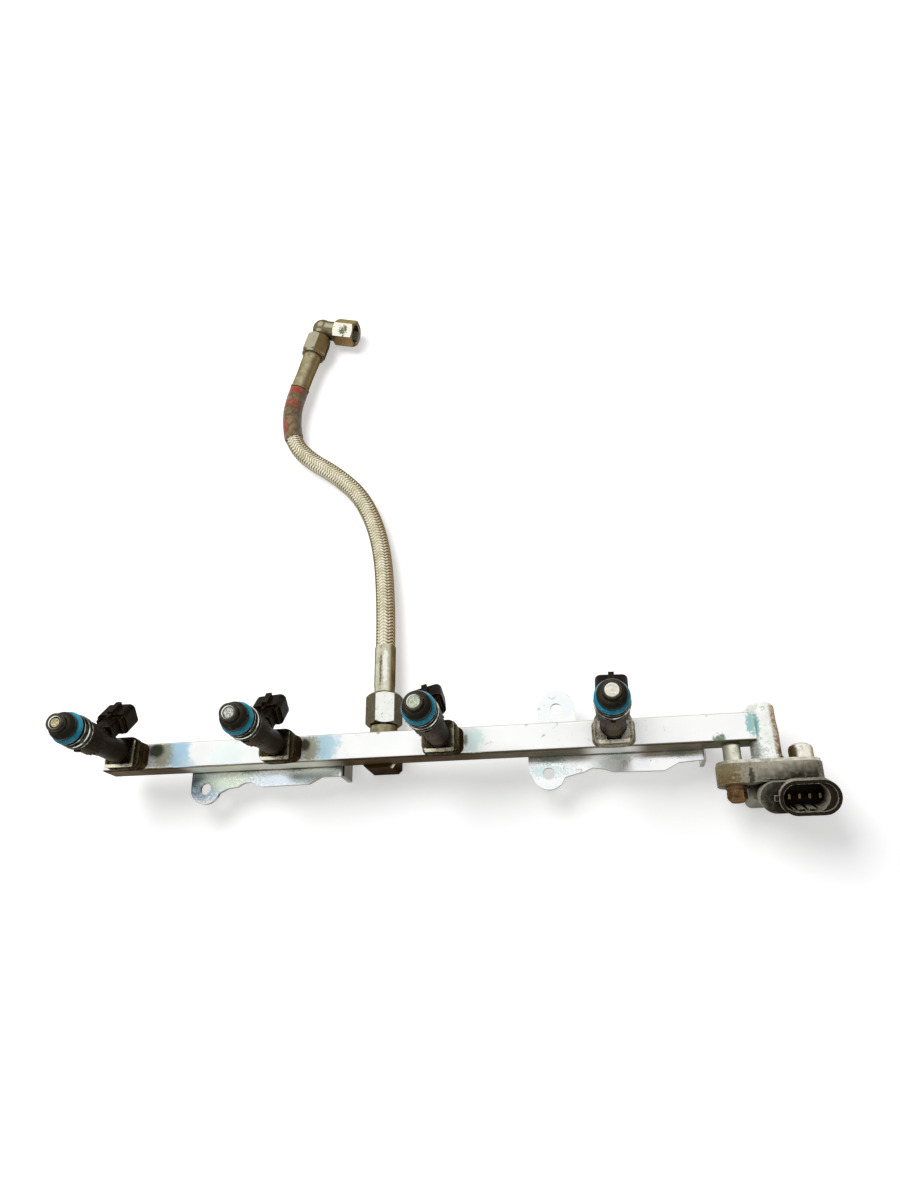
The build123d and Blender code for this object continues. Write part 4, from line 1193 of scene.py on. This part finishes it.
@dataclass
class Hose:
    """Braided hose with its marker sleeve, end ferrule, elbow and end nut."""

    frame: dict
    length: float = 0.1929
    radius: float = 4.9 * MM
    around: int = 96
    resolution: int = 108
    mean_height: float = 0.6
    sleeve_radius: float = 5.45 * MM
    sleeve_length: float = 34.0 * MM
    sleeve_around: int = 72
    socket_depth: float = 2.0 * MM
    wrinkle: float = 0.09 * MM
    wrinkle_seed: int = 11
    wrinkle_waves: int = 6
    lip_length: float = 1.2 * MM
    lip_depth: float = 0.35 * MM
    braid: Braid = Braid()
    corners: tuple[Triple, ...] = (
        (3.2, 68.6, -8.0),
        (3.2, 93.1, -8.0),
        (-1.1, 133.5, -11.1),
        (-12.3, 161.7, -11.1),
        (-28.2, 178.4, -11.1),
        (-46.5, 191.5, -11.0),
        (-55.4, 203.1, -10.2),
        (-57.3, 217.6, -8.8),
        (-56.3, 228.8, -7.8),
        (-52.9, 240.4, -7.8),
    )

    def line(self) -> list[Vector]:
        """Points of the hose's smooth line.

        Returns:
            The points from the rail to the end fitting, in metres.
        """
        data = bpy.data.curves.new("hose_line", "CURVE")
        data.dimensions = "3D"
        data.resolution_u = self.resolution
        spline = data.splines.new("NURBS")
        spline.points.add(len(self.corners) - 1)
        for point, corner in zip(spline.points, self.corners):
            point.co = (*(value * MM for value in corner), 1.0)
        spline.order_u = 3
        spline.use_endpoint_u = True
        holder = bpy.data.objects.new("hose_line", data)
        drawn = bpy.data.meshes.new_from_object(holder)
        points = [vertex.co.copy() for vertex in drawn.vertices]
        bpy.data.objects.remove(holder)
        bpy.data.curves.remove(data)
        bpy.data.meshes.remove(drawn)
        return points

    def build(self) -> None:
        """Makes the hose and sleeve, and dresses what is on them."""
        line = self.line()
        mesh = tube_mesh("braided_hose", line, self.around, self.braid_radius)
        hose = add_piece("braided_hose", mesh, self.braid)
        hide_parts("fuel_hose")
        sleeve = self.sleeve(line)
        ends = {"end_ferrule": END_FERRULE_STEEL, "end_elbow": OLIVE, "end_union_nut": END_NUT_STEEL}
        for name, finish in ends.items():
            dress(self.frame, finish, name)

    def braid_radius(self, turn: float, along: float) -> float:
        """Radius of the hose over a strand or between two."""
        return self.radius + self.braid.relief * (self.braid.height(turn, along) - self.mean_height)

    def sleeve(self, line: list[Vector]) -> bpy.types.Object:
        """Makes the marker sleeve over the hose's last stretch.

        Args:
            line: points of the hose's line.

        Returns:
            The sleeve.
        """
        far_first = line[::-1]
        travelled, part = 0.0, []
        for before, point in zip([far_first[0], *far_first], far_first):
            travelled += (point - before).length
            if self.socket_depth < travelled < self.socket_depth + self.sleeve_length:
                part.append(point)
        chance = random.Random(self.wrinkle_seed)
        waves = [(chance.randint(1, 5), chance.uniform(200, 900), chance.uniform(0, math.tau))
                 for _ in range(self.wrinkle_waves)]

        def radius(turn: float, along: float) -> float:
            """Radius with shallow wrinkles and a lip that draws in at either end.

            Args:
                turn: place round the sleeve, from 0 to 1.
                along: distance along the sleeve in metres.

            Returns:
                The radius in metres.
            """
            wrinkle = sum(math.sin(math.tau * count * turn + rate * along + start)
                          for count, rate, start in waves) / len(waves)
            drawn = max(0.0, 1.0 - min(along, self.sleeve_length - along) / self.lip_length) ** 2
            return self.sleeve_radius + self.wrinkle * wrinkle - self.lip_depth * drawn

        mesh = tube_mesh("hose_marker_sleeve", part, self.sleeve_around, radius)
        sleeve = add_piece("hose_marker_sleeve", mesh, Sleeve())
        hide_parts("marker_sleeve")
        return sleeve


@dataclass
class Injector:
    """One injector with its cup, clip, seals, cover and nozzle, in millimetres."""

    frame: dict
    number: int
    across: float
    depth: float = 14.4
    face_z: float = 77.9
    around: int = 72
    hole_circle: float = 0.62
    hole_turn: float = 0.6
    hole_radius: float = 0.13
    hole_depth: float = 0.25
    # Shift of the painted groove shade off the nozzle's axis, which leaves a crescent.
    groove_shade_offset: Pair = (0.15, -0.1)
    plate: tuple[Pair, ...] = (
        *((0.06 * step, 0.10) for step in range(18)), (1.15, 0.02), (1.5, 0.02), (1.62, 0.22), (1.8, 0.24),
        (1.9, 0.10), (2.3, 0.08), (2.55, 0.06), (2.7, 0.42), (2.85, 0.44), (2.9, 0.05))

    def build(self) -> None:
        """Dresses the injector's nodes and makes its nozzle plate."""
        cup = SILVERED if self.number == 4 else BRONZE
        for name, finish in (("cup", cup), ("clip", clip_steel(self.number, self.across)),
                             ("valve_body", VALVE_STEEL), ("upper_seal", BLUE), ("lower_seal", BLUE),
                             ("nozzle_cap", CAP), ("cover", COVER), ("terminals", COPPERY)):
            dress(self.frame, finish, f"injector_{name}_{self.number}")
        self.nozzle_plate()

    def nozzle_plate(self) -> None:
        """Makes the dished plate with four spray holes on the nozzle's face."""
        pale, dark, reach = DISC_TINTS[self.number]
        right, back = self.groove_shade_offset
        # The near-white edge colour paints a highlight on the rim, and the ring of painted shade follows
        # the shift.
        face = NozzleFace(f"nozzle_face_{self.number}", pale, dark, "#fcfcf4", "#46402e",
                          blotch=0.8, stain_share=0.3, rough=(0.2, 0.35), feature=1300.0,
                          grain=Grain.TURNED_Z, edge_width=0.15,
                          centre=(self.across + right, self.depth + back), reach=reach)
        turns = [math.tau * n / 4 + self.hole_turn for n in range(4)]
        holes = [(self.hole_circle * math.cos(turn), self.hole_circle * math.sin(turn)) for turn in turns]

        def dimples(x: float, y: float) -> float:
            """Depth of the spray holes."""
            nearest = min(math.hypot(x - a, y - b) for a, b in holes)
            return -self.hole_depth if nearest < self.hole_radius else 0.0

        name = f"nozzle_plate_{self.number}"
        mesh = turned_mesh(name, self.plate, (self.across, self.depth, self.face_z), self.around, dimples)
        add_piece(name, mesh, face)


@dataclass
class Injectors:
    """The four injectors along the rail."""

    frame: dict
    axes: tuple[float, ...] = (-119.1, -41.1, 36.9, 114.9)

    def build(self) -> None:
        """Builds each injector."""
        for number, across in enumerate(self.axes, 1):
            Injector(self.frame, number, across).build()


@dataclass
class PressureSensor:
    """Adapter at the rail's right end, with the sensor that two screws hold to it."""

    frame: dict

    def build(self) -> None:
        """Dresses the adapter and the sensor."""
        for name, finish in (("adapter", ADAPTER_STEEL), ("flange", FLANGE_STEEL), ("spacer", SPACER_STEEL),
                             ("front_screw", RUSTED), ("rear_screw", PALE_SCREW), ("housing", SENSOR_SHELL),
                             ("seal", BLACK_RUBBER), ("element", UNION_STEEL), ("terminals", COPPERY)):
            dress(self.frame, finish, f"sensor_{name}")


def main() -> None:
    """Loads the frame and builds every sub-assembly."""
    logging.basicConfig(level=logging.INFO, format="%(name)s: %(message)s")
    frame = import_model()
    for assembly in (Studio(), Hose(frame), Rail(frame), InletFittings(frame), Injectors(frame),
                     PressureSensor(frame)):
        assembly.build()


if __name__ == "__main__":
    main()
